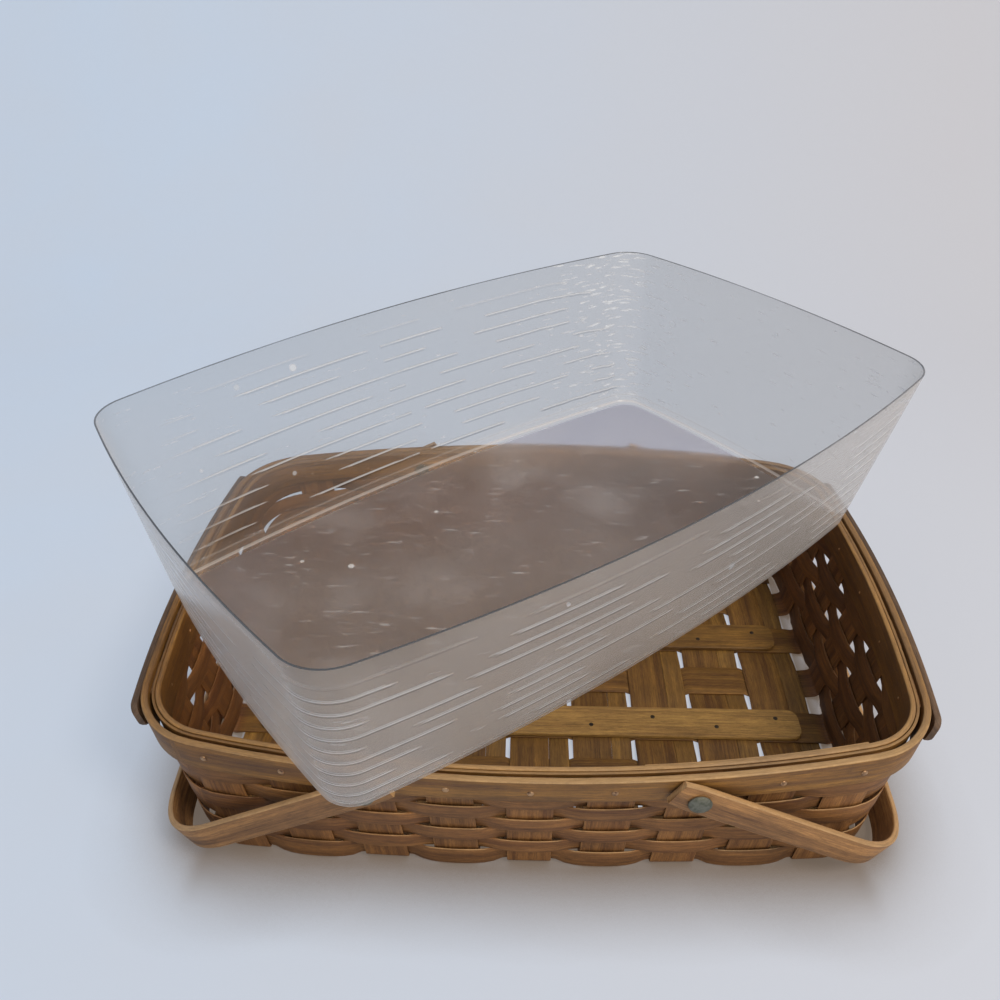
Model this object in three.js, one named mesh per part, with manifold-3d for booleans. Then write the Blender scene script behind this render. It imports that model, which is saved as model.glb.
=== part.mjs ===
// Splint gathering basket with two swing handles and a clear lift-out liner laid across its rim.
// Millimetres, +Z up, +X along the length, front side towards -Y, origin under the middle of the base.

import * as THREE from 'three';
import Module from 'manifold-3d';
import { mergeVertices } from 'three/addons/utils/BufferGeometryUtils.js';

const wasm = await Module();
wasm.setup();

// Splints
const UPRIGHT_WIDTH = 25.4;
const UPRIGHT_THICKNESS = 1.3;
const FILLER_SIDE_GAP = 0.5;
const FILLER_END_MARGIN = 1.8;
const WEAVER_HEIGHT = 11.6;
const WEAVER_THICKNESS = 1.0;
const WEAVER_ROW_GAP = 0.4;
const WEAVER_ROWS = 6;
const FIT_GAP = 0.3;
const CURVE_GAP = 0.35;

// Plan of the wall at the rim, measured to the middle of the uprights' thickness
const RIM_HALF_LENGTH = 224;
const RIM_HALF_WIDTH = 160;
const RIM_CORNER_RADIUS = 46;
const RIM_LONG_SIDE_RADIUS = 830;
const RIM_END_RADIUS = 860;

// Plan at the floor: how far the wall leans out on the way up gives its size
const END_LEAN = 22;
const LONG_SIDE_LEAN = 13;
const FLOOR_HALF_LENGTH = RIM_HALF_LENGTH - END_LEAN;
const FLOOR_HALF_WIDTH = RIM_HALF_WIDTH - LONG_SIDE_LEAN;
const FLOOR_CORNER_RADIUS = 32;
const FLOOR_LONG_SIDE_RADIUS = 2400;
const FLOOR_END_RADIUS = 1600;
const FLOOR_BEND_RADIUS = 4;

// Weave layout: the splints share out the floor, and their pitch grows a little towards the rim
const CROSSWISE_COUNT = 9;
const LENGTHWISE_COUNT = 5;
const CROSSWISE_LAST = (CROSSWISE_COUNT - 1) / 2;
const LENGTHWISE_LAST = (LENGTHWISE_COUNT - 1) / 2;
const LAST_CROSSWISE_MARGIN = 36;
const CROSSWISE_FLOOR_PITCH = (FLOOR_HALF_LENGTH - LAST_CROSSWISE_MARGIN) / CROSSWISE_LAST;
const CROSSWISE_SPREAD = 2.5;
const CROSSWISE_RIM_PITCH = CROSSWISE_FLOOR_PITCH + CROSSWISE_SPREAD;
const EDGE_SPLINT_MARGIN = 26;
const EDGE_SPLINT_Y = FLOOR_HALF_WIDTH - EDGE_SPLINT_MARGIN;
const EDGE_SPLINT_SPACING = 37;
const LENGTHWISE_FLOOR_PITCH = (EDGE_SPLINT_Y - EDGE_SPLINT_SPACING) / LENGTHWISE_LAST;
const LENGTHWISE_SPREAD = 5;
const LENGTHWISE_RIM_PITCH = LENGTHWISE_FLOOR_PITCH + LENGTHWISE_SPREAD;
const EDGE_SPLINT_END_MARGIN = 9;
const EDGE_SPLINT_HALF_LENGTH = FLOOR_HALF_LENGTH - EDGE_SPLINT_END_MARGIN;
const FLOOR_SLIT = 2.9;
const FILLER_WIDTH = CROSSWISE_FLOOR_PITCH - UPRIGHT_WIDTH - FILLER_SIDE_GAP - FLOOR_SLIT;

// Rim
const BAND_HEIGHT = 19;
const OUTER_BAND_THICKNESS = 4;
const INNER_BAND_THICKNESS = 3;
const RIM_STRIP_THICKNESS = 1.6;
const RIM_STRIP_HEIGHT = 17.5;
const RIM_STRIP_DROP = 0.5;
const UPRIGHT_TOP_DROP = 2.5;

// End slats outside the rim
const END_SLAT_THICKNESS = 3.5;
const END_SLAT_HEIGHT = 17.5;
const END_SLAT_DROP = 0.8;
const END_SLAT_END_MARGIN = 42;
const END_SLAT_HALF_LENGTH = RIM_HALF_WIDTH - END_SLAT_END_MARGIN;

// Floor slats
const FLOOR_SLAT_END_MARGIN = 21;
const FLOOR_SLAT_LENGTH = 2 * (FLOOR_HALF_LENGTH - FLOOR_SLAT_END_MARGIN);
const FLOOR_SLAT_WIDTH = 25;
const FLOOR_SLAT_THICKNESS = 3.2;
const FLOOR_SLAT_END_RADIUS = 7;

// Handles
const HANDLE_WIDTH = 19;
const HANDLE_THICKNESS = 3.6;
const HANDLE_EAR_LENGTH = 14.5;
const HANDLE_BEND_REACH = 38;
const HANDLE_CROSSPIECE_BOW = 8;
const HANDLE_TOE_IN_DEG = 4.8;
const HANDLE_HANG_DEG = 30;
const HANDLE_PIVOT_UPRIGHT = 2;
const HANDLE_PIVOT_DROP = 13;
const HANDLE_END_CLEARANCE = 1.2;
const HANDLE_BAND_GAP = 0.9;
const RIVET_HEAD_RADIUS = 6.3;
const RIVET_HEAD_HEIGHT = 2.4;
const RIVET_SHANK_RADIUS = 2.4;
const RIVET_HOLE_CLEARANCE = 0.35;
const RIVET_TAIL_LENGTH = 2.2;
const BURR_RADIUS = 5;
const BURR_THICKNESS = 1.2;

// Liner: overall half sizes, then the radii of its bowed sides and corners
const LINER_HEIGHT = 124;
const LINER_WALL = 1;
const LINER_TOP_HALF_LENGTH = 226;
const LINER_TOP_HALF_WIDTH = 155.5;
const LINER_TOP_LONG_RADIUS = 1080;
const LINER_TOP_END_RADIUS = 920;
const LINER_TOP_CORNER_RADIUS = 26;
const LINER_BOTTOM_HALF_LENGTH = 207.5;
const LINER_BOTTOM_HALF_WIDTH = 124;
const LINER_BOTTOM_LONG_RADIUS = 1540;
const LINER_BOTTOM_END_RADIUS = 1080;
const LINER_BOTTOM_CORNER_RADIUS = 20;
const LINER_EDGE_RADIUS = 5;
const LINER_YAW_DEG = 39;
const LINER_SHIFT_X = -5;
const LINER_SHIFT_Y = 22;

// Heights and offsets that follow from the sizes above
const WEAVE_RISE = (UPRIGHT_THICKNESS + FIT_GAP) / 2;
const FLOOR_MID_Z = WEAVE_RISE + UPRIGHT_THICKNESS / 2;
const FLOOR_TOP_Z = FLOOR_MID_Z + WEAVE_RISE + UPRIGHT_THICKNESS / 2;
const WALL_FOOT_Z = FLOOR_MID_Z + FLOOR_BEND_RADIUS;
const ROW_PITCH = WEAVER_HEIGHT + WEAVER_ROW_GAP;
const BAND_BOTTOM_Z = WALL_FOOT_Z + WEAVER_ROWS * ROW_PITCH + FIT_GAP;
const RIM_TOP_Z = BAND_BOTTOM_Z + BAND_HEIGHT;
const WEAVER_OFFSET = UPRIGHT_THICKNESS / 2 + CURVE_GAP + WEAVER_THICKNESS / 2;
const OUTER_BAND_INSIDE = UPRIGHT_THICKNESS / 2 + CURVE_GAP;
const OUTER_BAND_OUTSIDE = OUTER_BAND_INSIDE + OUTER_BAND_THICKNESS;
const RIM_STRIP_OUTSIDE = -(UPRIGHT_THICKNESS / 2 + CURVE_GAP);
const RIM_STRIP_INSIDE = RIM_STRIP_OUTSIDE - RIM_STRIP_THICKNESS;
const INNER_BAND_OUTSIDE = RIM_STRIP_INSIDE - CURVE_GAP;
const INNER_BAND_INSIDE = INNER_BAND_OUTSIDE - INNER_BAND_THICKNESS;
const END_SLAT_INSIDE = OUTER_BAND_OUTSIDE + FIT_GAP;
const END_SLAT_OUTSIDE = END_SLAT_INSIDE + END_SLAT_THICKNESS;
const END_SLAT_TOP_Z = RIM_TOP_Z - END_SLAT_DROP;
const PIVOT_Z = RIM_TOP_Z - HANDLE_PIVOT_DROP;
const UPRIGHT_REACH = UPRIGHT_WIDTH / 2 + 1;

const MAPLE = { colour: 0xa97c4f, roughness: 0.62 };
const FLOOR_MAPLE = { colour: 0xb58a52, roughness: 0.6 };
const BAND_MAPLE = { colour: 0x9c7349, roughness: 0.55 };
const HANDLE_MAPLE = { colour: 0x7d6048, roughness: 0.58 };
const RIVET_METAL = { colour: 0x55524a, roughness: 0.45, metalness: 0.9 };
const CLEAR_PLASTIC = { colour: 0xdfe4ea, roughness: 0.12, opacity: 0.25 };

const basket = new THREE.Group();

function material({ colour, roughness, metalness = 0, opacity = 1 }) {
  return new THREE.MeshStandardMaterial({
    color: colour,
    roughness,
    metalness,
    opacity,
    transparent: opacity < 1,
  });
}

function add(name, geometry, finish, parent = basket) {
  const mesh = new THREE.Mesh(geometry, material(finish));
  mesh.name = name;
  parent.add(mesh);
  return mesh;
}

function lerp(from, to, share) {
  return from + (to - from) * share;
}

// A rounded plan outline made of arcs: two long sides, two ends and four corners, each tangent to the next.
function planOutline(halfLength, halfWidth, longRadius, endRadius, cornerRadius) {
  // The corner circle touches both side circles from inside, so its centre is where two circles cross.
  const longCentre = halfWidth - longRadius;
  const endCentre = halfLength - endRadius;
  const toLong = longRadius - cornerRadius;
  const toEnd = endRadius - cornerRadius;
  let x = halfLength - cornerRadius;
  let y = halfWidth - cornerRadius;
  for (let pass = 0; pass < 40; pass += 1) {
    y = longCentre + Math.sqrt(toLong * toLong - x * x);
    x = endCentre + Math.sqrt(toEnd * toEnd - y * y);
  }
  return {
    longCentre,
    endCentre,
    longRadius,
    endRadius,
    cornerRadius,
    corner: new THREE.Vector2(x, y),
    longAngle: Math.atan2(y - longCentre, x),
    endAngle: Math.atan2(y, x - endCentre),
    bareFrom: Math.atan2(y - longCentre, x),
    bareTo: Math.atan2(y, x - endCentre),
  };
}

// Point and outward normal on one quadrant of an outline, at a distance along X on the long side.
function onLongSide(plan, x) {
  const tangentX = plan.corner.x + plan.cornerRadius * Math.cos(plan.longAngle);
  if (x <= tangentX) {
    const y = plan.longCentre + Math.sqrt(plan.longRadius ** 2 - x * x);
    const normal = new THREE.Vector2(x, y - plan.longCentre).normalize();
    return { point: new THREE.Vector2(x, y), normal };
  }
  const rise = Math.sqrt(Math.max(plan.cornerRadius ** 2 - (x - plan.corner.x) ** 2, 0));
  const normal = new THREE.Vector2(x - plan.corner.x, rise).normalize();
  return { point: new THREE.Vector2(x, plan.corner.y + rise), normal };
}

function onEnd(plan, y, keepToArc = false) {
  const tangentY = plan.corner.y + plan.cornerRadius * Math.sin(plan.endAngle);
  if (y <= tangentY || keepToArc) {
    const x = plan.endCentre + Math.sqrt(plan.endRadius ** 2 - y * y);
    const normal = new THREE.Vector2(x - plan.endCentre, y).normalize();
    return { point: new THREE.Vector2(x, y), normal };
  }
  const reach = Math.sqrt(Math.max(plan.cornerRadius ** 2 - (y - plan.corner.y) ** 2, 0));
  const normal = new THREE.Vector2(reach, y - plan.corner.y).normalize();
  return { point: new THREE.Vector2(plan.corner.x + reach, y), normal };
}

function onCorner(plan, share) {
  const angle = lerp(plan.bareFrom, plan.bareTo, share);
  const normal = new THREE.Vector2(Math.cos(angle), Math.sin(angle));
  return { point: normal.clone().multiplyScalar(plan.cornerRadius).add(plan.corner), normal };
}

// The basket wall: its plan and splint pitch at a height. The last uprights of a long side reach into
// the corner's arc, so the bare part of the corner starts at their edges.
function wallLevel(z) {
  return (z - WALL_FOOT_Z) / (RIM_TOP_Z - WALL_FOOT_Z);
}

function wallPlan(z) {
  const level = wallLevel(z);
  const bend = (floorRadius, rimRadius) => 1 / lerp(1 / floorRadius, 1 / rimRadius, level);
  const plan = planOutline(
    lerp(FLOOR_HALF_LENGTH, RIM_HALF_LENGTH, level),
    lerp(FLOOR_HALF_WIDTH, RIM_HALF_WIDTH, level),
    bend(FLOOR_LONG_SIDE_RADIUS, RIM_LONG_SIDE_RADIUS),
    bend(FLOOR_END_RADIUS, RIM_END_RADIUS),
    lerp(FLOOR_CORNER_RADIUS, RIM_CORNER_RADIUS, level),
  );
  const longEdge = onLongSide(plan, CROSSWISE_LAST * crosswisePitch(z) + UPRIGHT_REACH).normal;
  const endEdge = onEnd(plan, LENGTHWISE_LAST * lengthwisePitch(z) + UPRIGHT_REACH).normal;
  plan.bareFrom = Math.min(plan.longAngle, longEdge.angle());
  plan.bareTo = Math.max(plan.endAngle, endEdge.angle());
  return plan;
}

function crosswisePitch(z) {
  return lerp(CROSSWISE_FLOOR_PITCH, CROSSWISE_RIM_PITCH, wallLevel(z));
}

function lengthwisePitch(z) {
  return lerp(LENGTHWISE_FLOOR_PITCH, LENGTHWISE_RIM_PITCH, wallLevel(z));
}

// A station names a place round the wall: a side, an upright's number and a distance from its middle,
// or a corner and a share of the way round it. Front is -Y, right is +X.
function placeOnPlan(plan, station, pitchX, pitchY) {
  const { side } = station;
  if (side === 'front' || side === 'back') {
    const along = station.index * pitchX + station.shift;
    const { point, normal } = onLongSide(plan, Math.abs(along));
    const signX = Math.sign(along) || 1;
    const signY = side === 'front' ? -1 : 1;
    point.set(point.x * signX, point.y * signY);
    normal.set(normal.x * signX, normal.y * signY);
    return { point, normal };
  }
  if (side === 'right' || side === 'left') {
    const along = station.index * pitchY + station.shift;
    const { point, normal } = onEnd(plan, Math.abs(along), station.keepToArc);
    const signY = Math.sign(along) || 1;
    const signX = side === 'right' ? 1 : -1;
    point.set(point.x * signX, point.y * signY);
    normal.set(normal.x * signX, normal.y * signY);
    return { point, normal };
  }
  const { point, normal } = onCorner(plan, station.share);
  point.set(point.x * station.signX, point.y * station.signY);
  normal.set(normal.x * station.signX, normal.y * station.signY);
  return { point, normal };
}

function wallPoint(station, z, offset) {
  const { point, normal } = placeOnPlan(wallPlan(z), station, crosswisePitch(z), lengthwisePitch(z));
  return new THREE.Vector3(point.x + normal.x * offset, point.y + normal.y * offset, z);
}

// Stations of one corner, in the order that runs anticlockwise seen from above.
const CORNER_SHARES = [0, 0.17, 0.34, 0.5, 0.66, 0.83, 1];
const CORNERS = [
  { after: 'front', signX: 1, signY: -1, fromLong: true },
  { after: 'right', signX: 1, signY: 1, fromLong: false },
  { after: 'back', signX: -1, signY: 1, fromLong: true },
  { after: 'left', signX: -1, signY: -1, fromLong: false },
];

function cornerStations({ signX, signY, fromLong }, shares = CORNER_SHARES) {
  return shares.map((share) => ({ side: 'corner', signX, signY, share: fromLong ? share : 1 - share }));
}

// Uprights in order round the wall, anticlockwise from the front left.
function uprightNumbers(last, reversed) {
  const numbers = [];
  for (let index = -last; index <= last; index += 1) {
    numbers.push(reversed ? -index : index);
  }
  return numbers;
}

const WALL_SIDES = [
  { side: 'front', numbers: uprightNumbers(CROSSWISE_LAST, false), forward: 1 },
  { side: 'right', numbers: uprightNumbers(LENGTHWISE_LAST, false), forward: 1 },
  { side: 'back', numbers: uprightNumbers(CROSSWISE_LAST, true), forward: -1 },
  { side: 'left', numbers: uprightNumbers(LENGTHWISE_LAST, true), forward: -1 },
];

// A closed body through a row of sections, each a loop of points with the same count.
function loft(sections, closed = false) {
  const count = sections[0].length;
  const positions = sections.flat().flatMap((p) => [p.x, p.y, p.z]);
  const faces = [];
  const last = closed ? sections.length : sections.length - 1;
  for (let row = 0; row < last; row += 1) {
    const here = row * count;
    const next = ((row + 1) % sections.length) * count;
    for (let i = 0; i < count; i += 1) {
      const j = (i + 1) % count;
      faces.push(here + i, here + j, next + j, here + i, next + j, next + i);
    }
  }
  if (!closed) {
    const end = (sections.length - 1) * count;
    for (let i = 1; i < count - 1; i += 1) {
      faces.push(0, i + 1, i, end, end + i, end + i + 1);
    }
  }
  return facingOut(positions, faces);
}

function facingOut(positions, faces) {
  const at = (i) => new THREE.Vector3().fromArray(positions, i * 3);
  let volume = 0;
  for (let i = 0; i < faces.length; i += 3) {
    volume += at(faces[i]).dot(at(faces[i + 1]).cross(at(faces[i + 2])));
  }
  if (volume < 0) {
    faces.reverse();
  }
  const geometry = new THREE.BufferGeometry();
  geometry.setAttribute('position', new THREE.Float32BufferAttribute(positions, 3));
  geometry.setIndex(faces);
  return geometry;
}

function toSolid(geometry) {
  const bare = geometry.clone();
  bare.deleteAttribute('normal');
  bare.deleteAttribute('uv');
  const welded = mergeVertices(bare, 1e-4);
  return new wasm.Manifold(new wasm.Mesh({
    numProp: 3,
    vertProperties: Float32Array.from(welded.attributes.position.array),
    triVerts: Uint32Array.from(welded.index.array),
  }));
}

function fromSolid(solid) {
  const mesh = solid.getMesh();
  const geometry = new THREE.BufferGeometry();
  geometry.setAttribute('position', new THREE.BufferAttribute(new Float32Array(mesh.vertProperties), 3));
  geometry.setIndex(new THREE.BufferAttribute(new Uint32Array(mesh.triVerts), 1));
  return geometry;
}

function cutHoles(geometry, holes) {
  let solid = toSolid(geometry);
  holes.forEach((hole) => {
    solid = solid.subtract(toSolid(hole));
  });
  return fromSolid(solid);
}

// A round bar whose axis runs from a point along a direction.
function bar(start, direction, length, radius, sides) {
  const geometry = new THREE.CylinderGeometry(radius, radius, length, sides);
  geometry.translate(0, length / 2, 0);
  const turn = new THREE.Quaternion().setFromUnitVectors(new THREE.Vector3(0, 1, 0), direction);
  geometry.applyQuaternion(turn);
  geometry.translate(start.x, start.y, start.z);
  return geometry;
}

// A turned body: a profile of [radius, height] points from axis to axis, with its axis along a direction.
function turned(profile, start, direction, sides) {
  const points = profile.map(([radius, height]) => new THREE.Vector2(radius, height));
  const geometry = new THREE.LatheGeometry(points, sides);
  const turn = new THREE.Quaternion().setFromUnitVectors(new THREE.Vector3(0, 1, 0), direction);
  geometry.applyQuaternion(turn);
  geometry.translate(start.x, start.y, start.z);
  return geometry;
}

// Floor weave: a crosswise splint is over a lengthwise one where their numbers add up to an even number.
function weaveSide(crosswise, lengthwise) {
  return (crosswise + lengthwise) % 2 === 0 ? 1 : -1;
}

const CROSSING_MARGIN = 0.2;
const ACROSS = [-UPRIGHT_WIDTH / 2, 0, UPRIGHT_WIDTH / 2];
const WALL_SHARES = [0, 0.25, 0.5, 0.75, 1];
const UPRIGHT_TOP_Z = RIM_TOP_Z - UPRIGHT_TOP_DROP;

// One section of an upright: three points across its width on each face.
function uprightSection(lower, upper) {
  return [...lower, ...upper.reverse()];
}

function floorSection(place, z) {
  const lower = ACROSS.map((across) => place(across, z - UPRIGHT_THICKNESS / 2));
  const upper = ACROSS.map((across) => place(across, z + UPRIGHT_THICKNESS / 2));
  return uprightSection(lower, upper);
}

// Sections of the bend and the wall at one end of an upright, from the floor up.
function wallSections(side, index) {
  const station = (across) => ({ side, index, shift: across });
  const sections = [];
  for (const angle of [0, Math.PI / 4]) {
    const face = (half) => ACROSS.map((across) => {
      const foot = wallPoint(station(across), WALL_FOOT_Z, 0);
      const outward = new THREE.Vector3(side === 'right' ? 1 : side === 'left' ? -1 : 0,
        side === 'back' ? 1 : side === 'front' ? -1 : 0, 0);
      const reach = (FLOOR_BEND_RADIUS + half) * Math.sin(angle) - FLOOR_BEND_RADIUS;
      const drop = (FLOOR_BEND_RADIUS + half) * Math.cos(angle);
      return foot.addScaledVector(outward, reach).setZ(WALL_FOOT_Z - drop);
    });
    sections.push(uprightSection(face(UPRIGHT_THICKNESS / 2), face(-UPRIGHT_THICKNESS / 2)));
  }
  for (const share of WALL_SHARES) {
    const z = lerp(WALL_FOOT_Z, UPRIGHT_TOP_Z, share);
    const face = (half) => ACROSS.map((across) => wallPoint(station(across), z, half));
    sections.push(uprightSection(face(UPRIGHT_THICKNESS / 2), face(-UPRIGHT_THICKNESS / 2)));
  }
  return sections;
}

// The floor's rows: the lengthwise uprights, and one more splint outside them that stays on the floor.
const FLOOR_ROWS = [];
for (let j = -LENGTHWISE_LAST - 1; j <= LENGTHWISE_LAST + 1; j += 1) {
  const middle = Math.abs(j) > LENGTHWISE_LAST ? Math.sign(j) * EDGE_SPLINT_Y : j * LENGTHWISE_FLOOR_PITCH;
  FLOOR_ROWS.push({ j, edges: [-1, 1].map((edge) => middle + edge * (UPRIGHT_WIDTH / 2 + CROSSING_MARGIN)) });
}

function crosswiseUpright(index) {
  const middle = index * CROSSWISE_FLOOR_PITCH;
  const floor = [];
  for (const { j, edges } of FLOOR_ROWS) {
    const z = FLOOR_MID_Z + WEAVE_RISE * weaveSide(index, j);
    for (const y of edges) {
      floor.push(floorSection((across, height) => new THREE.Vector3(middle + across, y, height), z));
    }
  }
  return loft([...wallSections('front', index).reverse(), ...floor, ...wallSections('back', index)]);
}

// Along a lengthwise splint, each crossing takes in a wide splint and the narrow filler beside it.
// The first wide splint has a filler on its left too.
function crossingSpan(index) {
  const middle = index * CROSSWISE_FLOOR_PITCH;
  const fillerReach = FILLER_SIDE_GAP + FILLER_WIDTH;
  return [
    middle - UPRIGHT_WIDTH / 2 - (index === -CROSSWISE_LAST ? fillerReach : 0) - CROSSING_MARGIN,
    middle + UPRIGHT_WIDTH / 2 + fillerReach + CROSSING_MARGIN,
  ];
}

function lengthwiseFloor(index, middle) {
  const floor = [];
  for (let k = -CROSSWISE_LAST; k <= CROSSWISE_LAST; k += 1) {
    const z = FLOOR_MID_Z - WEAVE_RISE * weaveSide(k, index);
    for (const x of crossingSpan(k)) {
      floor.push(floorSection((across, height) => new THREE.Vector3(x, middle + across, height), z));
    }
  }
  return floor;
}

function lengthwiseUpright(index) {
  const floor = lengthwiseFloor(index, index * LENGTHWISE_FLOOR_PITCH);
  return loft([...wallSections('left', index).reverse(), ...floor, ...wallSections('right', index)]);
}

function edgeSplint(sign) {
  const floor = lengthwiseFloor(sign * (LENGTHWISE_LAST + 1), sign * EDGE_SPLINT_Y);
  const moved = (section, x) => section.map((point) => point.clone().setX(x));
  const first = moved(floor[0], -EDGE_SPLINT_HALF_LENGTH);
  const last = moved(floor[floor.length - 1], EDGE_SPLINT_HALF_LENGTH);
  return loft([first, ...floor, last]);
}

// A narrow splint beside the wide one of that number, on its right (1) or on its left (-1).
function fillerSplint(index, hand) {
  const aside = UPRIGHT_WIDTH / 2 + FILLER_SIDE_GAP + FILLER_WIDTH / 2;
  const middle = index * CROSSWISE_FLOOR_PITCH + hand * aside;
  const section = (y, z) => [
    new THREE.Vector3(middle - FILLER_WIDTH / 2, y, z - UPRIGHT_THICKNESS / 2),
    new THREE.Vector3(middle + FILLER_WIDTH / 2, y, z - UPRIGHT_THICKNESS / 2),
    new THREE.Vector3(middle + FILLER_WIDTH / 2, y, z + UPRIGHT_THICKNESS / 2),
    new THREE.Vector3(middle - FILLER_WIDTH / 2, y, z + UPRIGHT_THICKNESS / 2),
  ];
  const end = EDGE_SPLINT_Y + UPRIGHT_WIDTH / 2 + FILLER_END_MARGIN;
  const endZ = FLOOR_MID_Z + WEAVE_RISE * weaveSide(index, LENGTHWISE_LAST + 1);
  const sections = [section(-end, endZ)];
  for (const { j, edges } of FLOOR_ROWS) {
    const z = FLOOR_MID_Z + WEAVE_RISE * weaveSide(index, j);
    edges.forEach((y) => sections.push(section(y, z)));
  }
  sections.push(section(end, endZ));
  return loft(sections);
}

// Rings have a station at each upright's edges, and one at its middle where it reaches into a corner.
function edgesAt(side, index) {
  const last = side === 'front' || side === 'back' ? CROSSWISE_LAST : LENGTHWISE_LAST;
  return Math.abs(index) === last ? [-1, 0, 1] : [-1, 1];
}

// One ring of weaver: outside one upright and inside the next, all the way round.
function weaverRow(row) {
  const bottom = WALL_FOOT_Z + row * ROW_PITCH;
  const top = bottom + WEAVER_HEIGHT;
  const stops = [];
  let order = row + 1;
  WALL_SIDES.forEach(({ side, numbers, forward }, sideNumber) => {
    numbers.forEach((index) => {
      const offset = order % 2 === 0 ? WEAVER_OFFSET : -WEAVER_OFFSET;
      for (const edge of edgesAt(side, index)) {
        stops.push({ station: { side, index, shift: forward * edge * UPRIGHT_REACH }, offset });
      }
      order += 1;
    });
    const before = stops[stops.length - 1].offset;
    cornerStations(CORNERS[sideNumber], CORNER_SHARES.slice(1, -1)).forEach((station, i, all) => {
      stops.push({ station, offset: lerp(before, -before, (i + 1) / (all.length + 1)) });
    });
  });
  const half = WEAVER_THICKNESS / 2;
  return loft(stops.map(({ station, offset }) => [
    wallPoint(station, bottom, offset + half),
    wallPoint(station, top, offset + half),
    wallPoint(station, top, offset - half),
    wallPoint(station, bottom, offset - half),
  ]), true);
}

function ringStations() {
  return WALL_SIDES.flatMap(({ side, numbers, forward }, sideNumber) => [
    ...numbers.flatMap((index) => edgesAt(side, index).map((edge) => (
      { side, index, shift: forward * edge * UPRIGHT_REACH }
    ))),
    ...cornerStations(CORNERS[sideNumber], CORNER_SHARES.slice(1, -1)),
  ]);
}

function rimRing(bottom, top, inside, outside) {
  return loft(ringStations().map((station) => [
    wallPoint(station, bottom, outside),
    wallPoint(station, top, outside),
    wallPoint(station, top, inside),
    wallPoint(station, bottom, inside),
  ]), true);
}

// Pivots: one on each side of the basket for each handle, level with each other, axis along Y.
const pivotStation = (signX, side) => ({ side, index: signX * HANDLE_PIVOT_UPRIGHT, shift: 0 });
const PIVOT_X = HANDLE_PIVOT_UPRIGHT * crosswisePitch(PIVOT_Z);
const wallSlope = (RIM_HALF_WIDTH - FLOOR_HALF_WIDTH) / (RIM_TOP_Z - WALL_FOOT_Z);
const sideSlope = PIVOT_X / RIM_LONG_SIDE_RADIUS;
const bandTopAtPivot = Math.abs(wallPoint(pivotStation(1, 'back'), RIM_TOP_Z, OUTER_BAND_OUTSIDE).y);
const ARM_INSIDE_Y = bandTopAtPivot + HANDLE_BAND_GAP;
const PIVOTS = [
  { name: 'front_right', signX: 1, signY: -1, side: 'front' },
  { name: 'back_right', signX: 1, signY: 1, side: 'back' },
  { name: 'front_left', signX: -1, signY: -1, side: 'front' },
  { name: 'back_left', signX: -1, signY: 1, side: 'back' },
];

function rivetHole({ signX, signY }) {
  const start = new THREE.Vector3(signX * PIVOT_X, signY * (RIM_HALF_WIDTH / 2), PIVOT_Z);
  const direction = new THREE.Vector3(0, signY, 0);
  return bar(start, direction, RIM_HALF_WIDTH, RIVET_SHANK_RADIUS + RIVET_HOLE_CLEARANCE, 10);
}

const rivetHoles = PIVOTS.map(rivetHole);

// Uprights: nine across the basket and five along it
for (let index = -CROSSWISE_LAST; index <= CROSSWISE_LAST; index += 1) {
  const geometry = crosswiseUpright(index);
  const pierced = Math.abs(index) === HANDLE_PIVOT_UPRIGHT;
  const number = index + CROSSWISE_LAST + 1;
  add(`crosswise_upright_${number}`, pierced ? cutHoles(geometry, rivetHoles) : geometry, MAPLE);
}
for (let index = -LENGTHWISE_LAST; index <= LENGTHWISE_LAST; index += 1) {
  add(`lengthwise_upright_${index + LENGTHWISE_LAST + 1}`, lengthwiseUpright(index), MAPLE);
}

// Floor splints that don't turn up: a narrow one beside each wide one, and a wide one along each long side
for (let index = -CROSSWISE_LAST; index <= CROSSWISE_LAST; index += 1) {
  add(`floor_filler_${index + CROSSWISE_LAST + 1}`, fillerSplint(index, 1), FLOOR_MAPLE);
}
add('floor_filler_10', fillerSplint(-CROSSWISE_LAST, -1), FLOOR_MAPLE);
add('floor_edge_splint_near', edgeSplint(-1), MAPLE);
add('floor_edge_splint_far', edgeSplint(1), MAPLE);

// Weavers
for (let row = 0; row < WEAVER_ROWS; row += 1) {
  add(`weaver_row_${row + 1}`, weaverRow(row), MAPLE);
}

// Rim bands, with the thin strip that closes the top between them
const outerBand = rimRing(BAND_BOTTOM_Z, RIM_TOP_Z, OUTER_BAND_INSIDE, OUTER_BAND_OUTSIDE);
add('rim_outer_band', cutHoles(outerBand, rivetHoles), BAND_MAPLE);
const stripTop = RIM_TOP_Z - RIM_STRIP_DROP;
const rimStrip = rimRing(stripTop - RIM_STRIP_HEIGHT, stripTop, RIM_STRIP_INSIDE, RIM_STRIP_OUTSIDE);
add('rim_filler_strip', cutHoles(rimStrip, rivetHoles), FLOOR_MAPLE);
const innerBand = rimRing(BAND_BOTTOM_Z, RIM_TOP_Z, INNER_BAND_INSIDE, INNER_BAND_OUTSIDE);
add('rim_inner_band', cutHoles(innerBand, rivetHoles), BAND_MAPLE);

// End slats: bowed with the rim's end and running on past its corners
function endSlat(side) {
  const sections = [];
  for (let step = -4; step <= 4; step += 1) {
    const shift = step / 4 * END_SLAT_HALF_LENGTH;
    const station = { side, index: 0, shift, keepToArc: true };
    sections.push([
      wallPoint(station, END_SLAT_TOP_Z - END_SLAT_HEIGHT, END_SLAT_OUTSIDE),
      wallPoint(station, END_SLAT_TOP_Z, END_SLAT_OUTSIDE),
      wallPoint(station, END_SLAT_TOP_Z, END_SLAT_INSIDE),
      wallPoint(station, END_SLAT_TOP_Z - END_SLAT_HEIGHT, END_SLAT_INSIDE),
    ]);
  }
  return loft(sections);
}

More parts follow.
